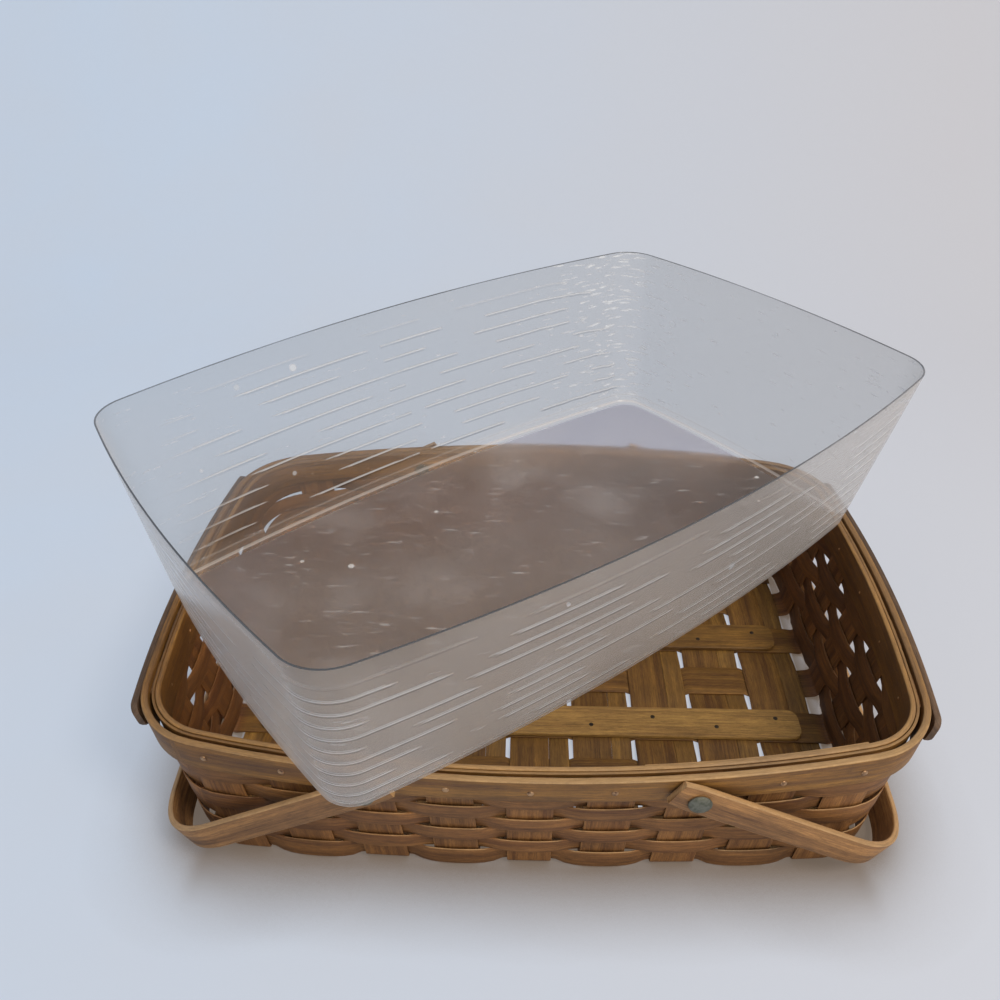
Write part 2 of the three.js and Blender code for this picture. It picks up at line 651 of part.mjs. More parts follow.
add('end_slat_right', endSlat('right'), HANDLE_MAPLE);
add('end_slat_left', endSlat('left'), HANDLE_MAPLE);

// Floor slats, lying over the second and fourth lengthwise splints
const SLAT_BOTTOM_Z = FLOOR_TOP_Z + FIT_GAP;

function floorSlatOutline() {
  const x = FLOOR_SLAT_LENGTH / 2;
  const y = FLOOR_SLAT_WIDTH / 2;
  const r = FLOOR_SLAT_END_RADIUS;
  const shape = new THREE.Shape();
  shape.moveTo(-x + r, -y);
  shape.lineTo(x - r, -y);
  shape.absarc(x - r, -y + r, r, -Math.PI / 2, 0, false);
  shape.absarc(x - r, y - r, r, 0, Math.PI / 2, false);
  shape.absarc(-x + r, y - r, r, Math.PI / 2, Math.PI, false);
  shape.absarc(-x + r, -y + r, r, Math.PI, 1.5 * Math.PI, false);
  return shape;
}

const slatRows = { near: -LENGTHWISE_FLOOR_PITCH, far: LENGTHWISE_FLOOR_PITCH };
for (const [name, y] of Object.entries(slatRows)) {
  const slat = new THREE.ExtrudeGeometry(floorSlatOutline(), {
    depth: FLOOR_SLAT_THICKNESS,
    bevelEnabled: false,
    curveSegments: 4,
  });
  slat.translate(0, y, SLAT_BOTTOM_Z);
  add(`floor_slat_${name}`, fromSolid(toSolid(slat)), FLOOR_MAPLE);
}
// Handles: each a bent strap round one end, drawn level and then hung from its pivots
const toeIn = Math.tan(THREE.MathUtils.degToRad(HANDLE_TOE_IN_DEG));
const armMiddleY = ARM_INSIDE_Y + HANDLE_THICKNESS / 2;
const slatFaceX = wallPoint({ side: 'right', index: 0, shift: 0 }, END_SLAT_TOP_Z, END_SLAT_OUTSIDE).x;
const slatReach = Math.hypot(slatFaceX - PIVOT_X, END_SLAT_TOP_Z - PIVOT_Z);
const crosspieceReach = slatReach + HANDLE_END_CLEARANCE + HANDLE_THICKNESS / 2;

// Half of the strap's middle line in its own plane, from the ear's end to the middle of the crosspiece.
function handleHalfLine() {
  const cornerReach = crosspieceReach - HANDLE_CROSSPIECE_BOW;
  const corner = new THREE.Vector2(cornerReach, armMiddleY - cornerReach * toeIn);
  const ear = new THREE.Vector2(-HANDLE_EAR_LENGTH, armMiddleY + HANDLE_EAR_LENGTH * toeIn);
  const bowed = (y) => crosspieceReach - HANDLE_CROSSPIECE_BOW * (y / corner.y) ** 2;
  const armEnd = corner.clone().add(ear.clone().sub(corner).setLength(HANDLE_BEND_REACH));
  const crossY = corner.y - HANDLE_BEND_REACH;
  const crossEnd = new THREE.Vector2(bowed(crossY), crossY);
  const bend = new THREE.QuadraticBezierCurve(armEnd, corner, crossEnd);
  const points = [ear, new THREE.Vector2(0, armMiddleY), ...bend.getPoints(8)];
  for (const share of [0.66, 0.33, 0]) {
    points.push(new THREE.Vector2(bowed(crossY * share), crossY * share));
  }
  return points;
}

function handleStrap() {
  const half = handleHalfLine();
  const mirrored = half.slice(0, -1).reverse().map((p) => new THREE.Vector2(p.x, -p.y));
  const line = [...half, ...mirrored];
  const sections = line.map((point, i) => {
    const before = line[Math.max(i - 1, 0)];
    const after = line[Math.min(i + 1, line.length - 1)];
    const along = after.clone().sub(before).normalize();
    const outward = new THREE.Vector2(along.y, -along.x).multiplyScalar(-HANDLE_THICKNESS / 2);
    const outer = point.clone().add(outward);
    const inner = point.clone().sub(outward);
    return [
      new THREE.Vector3(outer.x, outer.y, -HANDLE_WIDTH / 2),
      new THREE.Vector3(outer.x, outer.y, HANDLE_WIDTH / 2),
      new THREE.Vector3(inner.x, inner.y, HANDLE_WIDTH / 2),
      new THREE.Vector3(inner.x, inner.y, -HANDLE_WIDTH / 2),
    ];
  });
  const hole = (signY) => bar(
    new THREE.Vector3(0, signY * ARM_INSIDE_Y / 2, 0),
    new THREE.Vector3(0, signY, 0),
    ARM_INSIDE_Y,
    RIVET_SHANK_RADIUS + RIVET_HOLE_CLEARANCE,
    10,
  );
  return cutHoles(loft(sections), [hole(1), hole(-1)]);
}

for (const [name, signX] of Object.entries({ right: 1, left: -1 })) {
  const pivot = new THREE.Group();
  pivot.position.set(signX * PIVOT_X, 0, PIVOT_Z);
  pivot.rotation.y = signX * THREE.MathUtils.degToRad(HANDLE_HANG_DEG);
  basket.add(pivot);
  const strap = add(`handle_${name}`, handleStrap(), HANDLE_MAPLE, pivot);
  strap.rotation.z = signX > 0 ? 0 : Math.PI;
}

// Rivets: a domed head outside the handle, a shank through the rim and a burr on the inside
const headSeatY = ARM_INSIDE_Y + HANDLE_THICKNESS + RIVET_HEAD_RADIUS * toeIn + FIT_GAP;
const innerBandAtPivot = Math.abs(wallPoint(pivotStation(1, 'back'), PIVOT_Z, INNER_BAND_INSIDE).y);
const burrSeatY = innerBandAtPivot - BURR_RADIUS * (wallSlope + sideSlope) - FIT_GAP;

function rivet({ signX, signY }) {
  const tailY = burrSeatY - RIVET_TAIL_LENGTH;
  const r = RIVET_HEAD_RADIUS;
  const h = RIVET_HEAD_HEIGHT;
  return turned([
    [0, tailY],
    [RIVET_SHANK_RADIUS, tailY],
    [RIVET_SHANK_RADIUS, headSeatY],
    [r, headSeatY],
    [r * 0.97, headSeatY + h * 0.3],
    [r * 0.8, headSeatY + h * 0.7],
    [r * 0.45, headSeatY + h * 0.95],
    [0, headSeatY + h],
  ], new THREE.Vector3(signX * PIVOT_X, 0, PIVOT_Z), new THREE.Vector3(0, signY, 0), 14);
}

function burr({ signX, signY }) {
  const inner = RIVET_SHANK_RADIUS + RIVET_HOLE_CLEARANCE;
  const insideY = burrSeatY - BURR_THICKNESS;
  return turned([
    [inner, insideY],
    [BURR_RADIUS, insideY],
    [BURR_RADIUS, burrSeatY],
    [inner, burrSeatY],
    [inner, insideY],
  ], new THREE.Vector3(signX * PIVOT_X, 0, PIVOT_Z), new THREE.Vector3(0, signY, 0), 14);
}

for (const pivot of PIVOTS) {
  add(`handle_rivet_${pivot.name}`, rivet(pivot), RIVET_METAL);
  add(`rivet_burr_${pivot.name}`, burr(pivot), RIVET_METAL);
}

// Liner: a clear tray with bowed sides, resting level on the handles' ears across the rim
function linerPlan(z, inset) {
  const level = z / LINER_HEIGHT;
  const bend = (bottomRadius, topRadius) => 1 / lerp(1 / bottomRadius, 1 / topRadius, level) - inset;
  return planOutline(
    lerp(LINER_BOTTOM_HALF_LENGTH, LINER_TOP_HALF_LENGTH, level) - inset,
    lerp(LINER_BOTTOM_HALF_WIDTH, LINER_TOP_HALF_WIDTH, level) - inset,
    bend(LINER_BOTTOM_LONG_RADIUS, LINER_TOP_LONG_RADIUS),
    bend(LINER_BOTTOM_END_RADIUS, LINER_TOP_END_RADIUS),
    lerp(LINER_BOTTOM_CORNER_RADIUS, LINER_TOP_CORNER_RADIUS, level) - inset,
  );
}

function linerRing(z, inset, rise = 0) {
  const plan = linerPlan(z, inset);
  const longReach = plan.corner.x + plan.cornerRadius * Math.cos(plan.longAngle);
  const endReach = plan.corner.y + plan.cornerRadius * Math.sin(plan.endAngle);
  const sides = [
    { side: 'front', forward: 1, reach: longReach, steps: 8 },
    { side: 'right', forward: 1, reach: endReach, steps: 5 },
    { side: 'back', forward: -1, reach: longReach, steps: 8 },
    { side: 'left', forward: -1, reach: endReach, steps: 5 },
  ];
  return sides.flatMap(({ side, forward, reach, steps }, sideNumber) => {
    const stations = [];
    for (let step = 1; step < steps; step += 1) {
      stations.push({ side, index: 0, shift: forward * reach * (2 * step / steps - 1) });
    }
    stations.push(...cornerStations(CORNERS[sideNumber]));
    return stations.map((station) => {
      const { point } = placeOnPlan(plan, station, 0, 0);
      return new THREE.Vector3(point.x, point.y, z + rise);
    });
  });
}

function linerTray() {
  const edge = LINER_EDGE_RADIUS;
  const rings = [
    linerRing(0, edge),
    linerRing(edge * 0.3, edge * 0.3),
    linerRing(edge, 0),
    linerRing(LINER_HEIGHT, 0),
    linerRing(LINER_HEIGHT, LINER_WALL),
    linerRing(edge + LINER_WALL, LINER_WALL),
    linerRing(edge * 0.3 + LINER_WALL, LINER_WALL + edge * 0.3),
    linerRing(LINER_WALL, LINER_WALL + edge),
  ];
  return loft(rings);
}

const earAngle = THREE.MathUtils.degToRad(HANDLE_HANG_DEG);
const earTopZ = PIVOT_Z + HANDLE_EAR_LENGTH * Math.sin(earAngle) + HANDLE_WIDTH / 2 * Math.cos(earAngle);
const liner = add('liner', linerTray(), CLEAR_PLASTIC);
liner.rotation.z = THREE.MathUtils.degToRad(LINER_YAW_DEG);
liner.position.set(LINER_SHIFT_X, LINER_SHIFT_Y, earTopZ + FIT_GAP);

export default basket;
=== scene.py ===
# %% [markdown]
# # A splint gathering basket
# The basket is woven from thin wooden splints, bound by nailed rim bands, and carried by two bentwood
# handles that swing on rivets. A clear plastic liner lies across its rim. Such pieces could be modelled by
# hand, but the weave ties them all to the wall's curve, so each kind of piece has one function that works
# out its points. Sizes are in millimetres until a mesh is made, and the frame's own units are metres.

# %% Frame
import bpy
import math
from mathutils import Matrix, Vector, noise


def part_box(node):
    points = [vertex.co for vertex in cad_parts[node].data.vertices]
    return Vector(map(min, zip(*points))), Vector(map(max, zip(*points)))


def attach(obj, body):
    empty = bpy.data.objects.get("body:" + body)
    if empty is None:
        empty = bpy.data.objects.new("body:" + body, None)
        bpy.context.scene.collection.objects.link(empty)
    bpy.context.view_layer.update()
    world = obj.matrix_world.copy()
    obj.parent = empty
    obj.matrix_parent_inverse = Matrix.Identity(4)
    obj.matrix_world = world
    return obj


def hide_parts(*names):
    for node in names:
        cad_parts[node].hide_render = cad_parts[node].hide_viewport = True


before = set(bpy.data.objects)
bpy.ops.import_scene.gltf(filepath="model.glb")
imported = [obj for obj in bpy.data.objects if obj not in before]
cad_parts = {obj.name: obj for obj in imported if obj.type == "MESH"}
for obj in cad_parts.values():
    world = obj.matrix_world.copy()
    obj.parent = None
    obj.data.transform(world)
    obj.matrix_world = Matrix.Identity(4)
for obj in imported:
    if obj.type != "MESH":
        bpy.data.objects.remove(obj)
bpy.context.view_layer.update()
MM = 0.001

# %% [markdown]
# ## Material tools
# A finish is a small network of nodes. Its colours are written as sRGB hex, as on a paint card, and turned
# to the linear light that the renderer counts in. One function adds a node of any kind with its settings
# and links, so a material reads as a list of steps, one to a line.

# %% Material tools
def linear(colour):
    """sRGB hex, such as 0xC08040, as linear RGBA."""
    parts = [((colour >> shift) & 255) / 255 for shift in (16, 8, 0)]
    return [p / 12.92 if p <= 0.04045 else ((p + 0.055) / 1.055) ** 2.4 for p in parts] + [1.0]


def new_material(name):
    material = bpy.data.materials.new(name)
    material.use_nodes = True
    material.node_tree.nodes.clear()
    return material, material.node_tree


def add_node(tree, kind, inputs=(), **settings):
    """Inputs come in the node's own order, or in a dict by socket. The node's outputs are given back.

    An input that is another node's output is linked, and any other value is set.
    """
    node = tree.nodes.new("ShaderNode" + kind)
    for setting, value in settings.items():
        setattr(node, setting, value)
    for socket, value in inputs.items() if isinstance(inputs, dict) else enumerate(inputs):
        if isinstance(value, bpy.types.NodeSocket):
            tree.links.new(value, node.inputs[socket])
        else:
            node.inputs[socket].default_value = value
    return node.outputs


def per_metre(size):
    """Scale of a texture whose features are about this many millimetres apart."""
    return 1 / (size * MM)


# A Mix node's sockets for colours are its share, the first and second colour, and the mixed one.
SHARE, FIRST, SECOND, MIXED = 0, 6, 7, 2
BLEND = {"data_type": "RGBA"}
TINT = {"data_type": "RGBA", "blend_type": "MULTIPLY"}
print("the paint card's 0x808080 is", round(linear(0x808080)[0], 3), "in linear light")

# %% [markdown]
# ## Wood
# The splints, bands and slats are maple, split or sawn thin, stained, and worn to a satin. The eye reads
# that as long fibres, broader growth rings, dark pores, flecks, and a tone for each piece. A picture of
# wood could be wrapped round the pieces, but it would slide at every bend. So each wooden mesh carries a
# "grain" attribute: millimetres along the fibres, millimetres across them, and a number for the piece. The
# figure is noise, stretched along the grain to the real size of each feature.

# %% Wood figure
PIECES_APART = 7.31


def figure(tree, grain, length, width, detail, roughness=0.6):
    """Noise in patches of about length by width, in millimetres along the grain and across it."""
    stretch = (1 / length, 1 / width, PIECES_APART)
    coords = add_node(tree, "VectorMath", (grain, stretch), operation="MULTIPLY")[0]
    return add_node(tree, "TexNoise", {
        "Vector": coords, "Scale": 1.0, "Detail": detail, "Roughness": roughness})["Fac"]


def fibre_colour(tree, fibres, rings, dark, light, streak):
    """From dark to light through the fibres and the rings. streak is how far the fibres count."""
    blend = add_node(tree, "Math", (fibres, 0.62 * streak), operation="MULTIPLY")[0]
    blend = add_node(tree, "Math", (rings, 0.5, blend), operation="MULTIPLY_ADD")[0]
    blend = add_node(tree, "MapRange", (blend, 0.40, 0.74))[0]
    colour = add_node(tree, "ValToRGB", (blend,))["Color"]
    stops = colour.node.color_ramp.elements
    stops[0].color, stops[1].color = linear(dark), linear(light)
    stops.new(0.55).color = [(a + b) / 2 for a, b in zip(linear(dark), linear(light))]
    return colour


print("each piece's figure lies", PIECES_APART, "steps of noise from the next number's")

# %% [markdown]
# ## Age and painted light on the wood
# The same splint is dusty inside the basket, handled outside, and pale where its edges are rubbed, and light
# and shade are painted on it too. Three materials for one splint would leave hard borders, so one attribute,
# for patina and painted light, slides between the looks: 0 is dark indoors, dusty and in painted shade, 1 is
# handled and lighter outside, and 1.5 is an edge that is worn pale, some with a painted highlight. Below 0 it
# is the floor's upper face, golden and lighter, partly its own tone and partly painted light from above.

# %% Wood finish
# The pale edge's colour: worn edges, and on some the painted highlight of an edge in the light.
WORN_AND_HIGHLIT_EDGE = 0xCBA878


def aged(tree, colour, patina_and_painted_light, flecked, inside, floor):
    """The colour indoors, darkened as dust and painted shade, on the floor, lighter partly as painted light,
    outside, or on a pale edge, worn and on some edges a painted highlight.
    """
    floor_share = add_node(tree, "Math", (patina_and_painted_light, -1.0), operation="MULTIPLY", use_clamp=True)[0]
    indoor_dust_and_shade = add_node(tree, "Mix", {SHARE: floor_share, FIRST: linear(inside), SECOND: linear(floor)}, **BLEND)
    indoor_dust_and_shade = add_node(tree, "Mix", {SHARE: 1.0, FIRST: colour, SECOND: indoor_dust_and_shade[MIXED]}, **TINT)[MIXED]
    colour = add_node(tree, "Mix", {SHARE: patina_and_painted_light, FIRST: indoor_dust_and_shade, SECOND: colour}, **BLEND)[MIXED]
    worn = add_node(tree, "MapRange", (patina_and_painted_light, 1.0, 1.5, 0.0, 0.75))[0]
    worn = add_node(tree, "Math", (worn, flecked), operation="MULTIPLY", use_clamp=True)[0]
    return add_node(tree, "Mix", {SHARE: worn, FIRST: colour, SECOND: linear(WORN_AND_HIGHLIT_EDGE)}, **BLEND)[MIXED]


def wood(name, dark, light, inside, gloss, streak=1.0, floor=None):
    """dark and light end the fibres' range. inside and floor tone it down indoors and on the floor, as dust
    and painted shade, and less on the floor, which takes painted light.
    """
    material, tree = new_material(name)
    grain = add_node(tree, "Attribute", attribute_name="grain")["Vector"]
    patina_and_painted_light = add_node(tree, "Attribute", attribute_name="patina_and_painted_light")["Fac"]

    # Each feature's length and width in millimetres, and how fine its detail is.
    fibres = figure(tree, grain, 45.45, 1.25, 6, 0.75)
    rings = figure(tree, grain, 166.7, 6.25, 3)
    clouds = figure(tree, grain, 33.33, 20.0, 2)
    flecks = figure(tree, grain, 6.25, 0.769, 4, 0.75)
    pores = figure(tree, grain, 8.333, 0.4545, 2)
    colour = fibre_colour(tree, fibres, rings, dark, light, streak)

    # The tone is the piece's own, times soft clouds and small flecks.
    piece = add_node(tree, "SeparateXYZ", (grain,))[2]
    piece = add_node(tree, "TexWhiteNoise", {"W": piece}, noise_dimensions="1D")["Value"]
    tone = add_node(tree, "MapRange", (piece, 0.0, 1.0, 0.82, 1.16))[0]
    cloudy = add_node(tree, "MapRange", (clouds, 0.3, 0.7, 0.84, 1.12))[0]
    flecked = add_node(tree, "MapRange", (flecks, 0.34, 0.66, 0.74, 1.22))[0]
    for factor in (cloudy, flecked):
        tone = add_node(tree, "Math", (tone, factor), operation="MULTIPLY")[0]
    tone = add_node(tree, "CombineXYZ", (tone, tone, tone))[0]
    colour = add_node(tree, "Mix", {SHARE: 1.0, FIRST: colour, SECOND: tone}, **TINT)[MIXED]
    pitted = add_node(tree, "MapRange", (pores, 0.60, 0.70, 0.0, 0.5))[0]
    colour = add_node(tree, "Mix", {SHARE: pitted, FIRST: colour, SECOND: linear(dark)}, **TINT)[MIXED]
    colour = aged(tree, colour, patina_and_painted_light, flecked, inside, floor or inside)

    # Fibres stand up a little and pores are sunk, as on split wood that was only scraped.
    height = add_node(tree, "Math", (pitted, -0.5, fibres), operation="MULTIPLY_ADD")[0]
    bump = add_node(tree, "Bump", {"Strength": 0.5, "Distance": 0.35 * MM, "Height": height})[0]
    rough = add_node(tree, "MapRange", (fibres, 0.0, 1.0, gloss - 0.08, gloss + 0.16))[0]
    surface = add_node(tree, "BsdfPrincipled", {
        "Base Color": colour, "Roughness": rough, "Normal": bump, "IOR": 1.5})[0]
    add_node(tree, "OutputMaterial", (surface,))
    return material


# %% Wood materials
# Each material's third colour darkens the inside as dust and painted shade; the splints' floor colour is
# partly painted light.
# Split maple, stained brown: a soft figure and a soft shine.
splint_wood = wood("Maple splint, stained, satin", 0x643F20, 0xB8844A, 0xC6B896, 0.6, streak=0.8,
                   floor=0xD8DEB0)
# The same with a golden stain, for the floor's fillers and slats.
floor_wood = wood("Maple splint, golden stain, satin", 0x70502A, 0xC29A54, 0xCCC2A6, 0.55)
# Sawn maple, rubbed by hands at the rim: warmer, with more shine than the splints.
band_wood = wood("Maple rim band, stained, worn satin", 0x5C3A1C, 0xAC7C38, 0xB4A68C, 0.54)
# Maple bent with steam, whose fibres rose as it dried: paler streaks.
handle_wood = wood("Bent maple strap, stained, satin", 0x684628, 0xC29058, 0xA89A8C, 0.58)
# Maple that weathered: grey-brown and dull.
slat_wood = wood("End slat maple, weathered grey-brown", 0x46362A, 0x86694E, 0xA0948A, 0.6)
print("wood materials: 5")

# %% [markdown]
# ## Metal
# The rivets are dulled steel with a green-grey oxide, the small rim nails are copper, and the floor tacks
# are dark iron. All are small, so what the eye gets is a broken shine. Patches of tarnish 3 millimetres
# across lie over the bare metal, and scratches of half a millimetre roughen both.

# %% Metal materials
def old_metal(name, bare, tarnish, roughness):
    material, tree = new_material(name)
    place = add_node(tree, "TexCoord")["Object"]
    fine = add_node(tree, "TexNoise", {"Vector": place, "Scale": per_metre(0.5), "Detail": 3.0})[0]
    broad = add_node(tree, "TexNoise", {"Vector": place, "Scale": per_metre(3.03), "Detail": 4.0})[0]
    covered = add_node(tree, "MapRange", (broad, 0.42, 0.62))[0]
    colour = add_node(tree, "Mix", {SHARE: covered, FIRST: linear(bare), SECOND: linear(tarnish)}, **BLEND)
    metallic = add_node(tree, "MapRange", (covered, 0.0, 1.0, 1.0, 0.55))[0]
    rough = add_node(tree, "Math", (fine, 0.25, roughness - 0.1), operation="MULTIPLY_ADD")[0]
    bump = add_node(tree, "Bump", {"Strength": 0.3, "Distance": 0.1 * MM, "Height": fine})[0]
    surface = add_node(tree, "BsdfPrincipled", {
        "Base Color": colour[MIXED], "Metallic": metallic, "Roughness": rough, "Normal": bump})[0]
    add_node(tree, "OutputMaterial", (surface,))
    return material


# Pressed steel with a grey-green oxide gives a broad dull shine.
rivet_metal = old_metal("Steel rivet, dulled", 0x7E7E72, 0x5A5C50, 0.5)
# Drawn copper is brown where it is dull, and a warm point of light where it is rubbed.
nail_metal = old_metal("Copper nail, darkened", 0xC09A74, 0x5E4432, 0.35)
# Cut iron with its black scale gives a dark dot with hardly a shine.
tack_metal = old_metal("Iron tack, dark", 0x4E463C, 0x2E2620, 0.55)
print("metals: 3")

# %% [markdown]
# ## Ribs of the clear plastic
# The liner is thin sheet that was heated and drawn over a mould. Its walls carry fine moulded ribs, rows of
# long dashes. As real ridges they would need a very dense mesh, so they are drawn: each dash is a pale
# painted highlight, with a darker line of painted shade beside it. A "panel" attribute gives millimetres
# round the tray, millimetres up its wall, and how strong the ribs are.

# %% Moulded ribs
RIB_PITCH, DASH_PITCH = 10.5, 128.0
RIB_SHADE = 1.3


def off_middle(tree, value):
    """How far a value is from the middle of its step of one, from 0 to 0.5."""
    value = add_node(tree, "Math", (value,), operation="FRACT")[0]
    value = add_node(tree, "Math", (value, 0.5), operation="SUBTRACT")[0]
    return add_node(tree, "Math", (value,), operation="ABSOLUTE")[0]


def rib_dashes(tree, up, around):
    """Dashes, each with a start and a length of its own, between the wall's foot and its top."""
    row = add_node(tree, "Math", (up, RIB_PITCH), operation="DIVIDE")[0]
    row = add_node(tree, "Math", (row,), operation="FLOOR")[0]
    start = add_node(tree, "TexWhiteNoise", {"W": row}, noise_dimensions="1D")["Value"]
    count = add_node(tree, "Math", (around, DASH_PITCH), operation="DIVIDE")[0]
    count = add_node(tree, "Math", (count, start), operation="ADD")[0]
    number = add_node(tree, "Math", (count,), operation="FLOOR")[0]
    own = add_node(tree, "Math", (row, 17.3), operation="MULTIPLY")[0]
    number = add_node(tree, "Math", (number, own), operation="ADD")[0]
    length = add_node(tree, "TexWhiteNoise", {"W": number}, noise_dimensions="1D")["Value"]
    half = add_node(tree, "MapRange", (length, 0.0, 1.0, 0.22, 0.47))[0]
    dash = add_node(tree, "Math", (half, off_middle(tree, count)), operation="SUBTRACT")[0]
    dash = add_node(tree, "MapRange", (dash, 0.0, 0.04))[0]
    for limits in ((6.0, 9.0), (104.0, 112.0, 1.0, 0.0)):
        within = add_node(tree, "MapRange", (up, *limits))[0]
        dash = add_node(tree, "Math", (dash, within), operation="MULTIPLY")[0]
    return dash


def rib_lines(tree, up, around, strength):
    """The ribs as painted highlights, and the painted shade beside them."""
    dash = rib_dashes(tree, up, around)
    dash = add_node(tree, "Math", (dash, strength), operation="MULTIPLY")[0]
    lines = []
    for shift, half_width in ((0.0, 0.015), (RIB_SHADE, 0.02)):
        line = add_node(tree, "Math", (up, shift), operation="ADD")[0]
        line = add_node(tree, "Math", (line, RIB_PITCH), operation="DIVIDE")[0]
        line = add_node(tree, "MapRange", (off_middle(tree, line), half_width, 0.06, 1.0, 0.0))[0]
        lines.append(add_node(tree, "Math", (line, dash), operation="MULTIPLY")[0])
    return lines


def foot_highlights(tree, height):
    """Two pale lines round the wall's foot, painted highlights on its round: a sharp one at 3 mm and a
    fainter one at 8 mm.
    """
    pale_lines = []
    for middle, inner, outer, strength in ((3.0, 0.15, 0.7, 1.0), (8.0, 0.2, 0.6, 0.4)):
        away = add_node(tree, "Math", (height, middle), operation="SUBTRACT")[0]
        away = add_node(tree, "Math", (away,), operation="ABSOLUTE")[0]
        pale_lines.append(add_node(tree, "MapRange", (away, inner, outer, strength, 0.0))[0])
    return add_node(tree, "Math", pale_lines, operation="ADD")[0]


print("ribs every", RIB_PITCH, "mm")

# %% [markdown]
# ## Marks on the clear plastic
# Handling leaves short pale scratches and small pale dots, and old sheet turns milky in soft clouds. A "wear"
# attribute says how milky and how scratched each place is, so that the marks can gather at the corners where
# the tray is lifted and knocked. At the back corner the scratches are made stronger, as painted glints.

# %% Marks on the plastic
SPECK_SPACING, BASE_SPECK_SPACING, SPECK_SHARE = 38.46, 29.41, 0.08


def scratches(tree, coords, sizes, worn, strength):
    """Noise in long patches, of which only the peaks show. sizes are theirs, in the units of coords."""
    stretch = tuple(1 / size for size in sizes)
    coords = add_node(tree, "VectorMath", (coords, stretch), operation="MULTIPLY")[0]
    peaks = add_node(tree, "TexNoise", {"Vector": coords, "Scale": 1.0, "Detail": 3.0})[0]
    peaks = add_node(tree, "Math", (peaks, worn), operation="ADD")[0]
    return add_node(tree, "MapRange", (peaks, 0.66, 0.76, 0.0, strength))[0]


def specks(tree, place, spacing):
    """One dot in each cell, and each of a size of its own."""
    cells = add_node(tree, "TexVoronoi", {"Vector": place, "Scale": per_metre(spacing)})
    radius = add_node(tree, "SeparateColor", (cells["Color"],))[0]
    radius = add_node(tree, "Math", (radius, SPECK_SHARE), operation="MULTIPLY")[0]
    beyond = add_node(tree, "Math", (cells["Distance"], radius), operation="SUBTRACT")[0]
    return add_node(tree, "MapRange", (beyond, -0.01, 0.01, 0.5, 0.0))[0]


def haze_and_mirror(tree, cloud, haze, milky):
    """Share of light that the surface itself sends back: its haze, and its mirror at a flat angle."""
    milk = add_node(tree, "MapRange", (cloud, 0.32, 0.68, haze * 0.55, haze * 1.45))[0]
    milk = add_node(tree, "Math", (milk, milky), operation="MULTIPLY")[0]
    facing = add_node(tree, "LayerWeight", (0.5,))["Facing"]
    mirror = add_node(tree, "Math", (facing, 4.0), operation="POWER")[0]
    mirror = add_node(tree, "Math", (mirror, 0.6, 0.03), operation="MULTIPLY_ADD")[0]
    return add_node(tree, "Math", (milk, mirror), operation="ADD")[0]


print("widest specks:", round(2 * SPECK_SHARE * SPECK_SPACING, 1), "mm")

# %% [markdown]
# ## Sheet of the clear plastic
# Clear sheet could be one transmissive shader, but such a shader casts a full shadow, and the basket below
# would lie in the dark. So the surface's own light is laid over a transparent shader, by the share that haze,
# marks and ribs cover. The base is finely textured: it scatters light, so what lies close below it is sharp
# and what lies deep in the basket melts away. For shadow rays the sheet counts as clear.

# %% Sheet
def plastic_sheet(tree, cover, marks, pale, body, relief, frost):
    """cover and marks hide what is behind, pale is their colour, and frost is the share that scatters."""
    for mark in marks:
        cover = add_node(tree, "Math", (cover, mark), operation="MAXIMUM", use_clamp=True)[0]
    shadow = add_node(tree, "LightPath")["Is Shadow Ray"]
    kept = add_node(tree, "Math", (shadow, -0.8, 1.0), operation="MULTIPLY_ADD")[0]
    cover = add_node(tree, "Math", (cover, kept), operation="MULTIPLY")[0]
    bump = add_node(tree, "Bump", {"Strength": 0.7, "Distance": 1.0 * MM, "Height": relief})[0]
    sheen = add_node(tree, "BsdfPrincipled", {
        "Base Color": pale, "Roughness": 0.18, "IOR": 1.49, "Normal": bump})[0]
    body = add_node(tree, "Mix", {SHARE: shadow, FIRST: body, SECOND: linear(0xFFFFFF)}, **BLEND)[MIXED]
    clear = add_node(tree, "BsdfTransparent", (body,))[0]
    scattered = add_node(tree, "BsdfRefraction", {
        "Color": linear(0xEFEEF4), "Roughness": 0.5, "IOR": 1.49})[0]
    share = add_node(tree, "Math", (shadow, -frost, frost), operation="MULTIPLY_ADD")[0]
    through = add_node(tree, "MixShader", (share, clear, scattered))[0]
    surface = add_node(tree, "MixShader", (cover, through, sheen))[0]
    add_node(tree, "OutputMaterial", (surface,))


def plastic_places(tree):
    """Object coordinates, the two shares of wear, and the soft clouds that bend and haze the sheet."""
    place = add_node(tree, "TexCoord")["Object"]
    wear = add_node(tree, "Attribute", attribute_name="wear")["Vector"]
    milky, scuffed_and_glinting = add_node(tree, "SeparateXYZ", (wear,))[:2]
    cloud = add_node(tree, "TexNoise", {"Vector": place, "Scale": per_metre(111.1), "Detail": 5.0})[0]
    return place, milky, scuffed_and_glinting, cloud


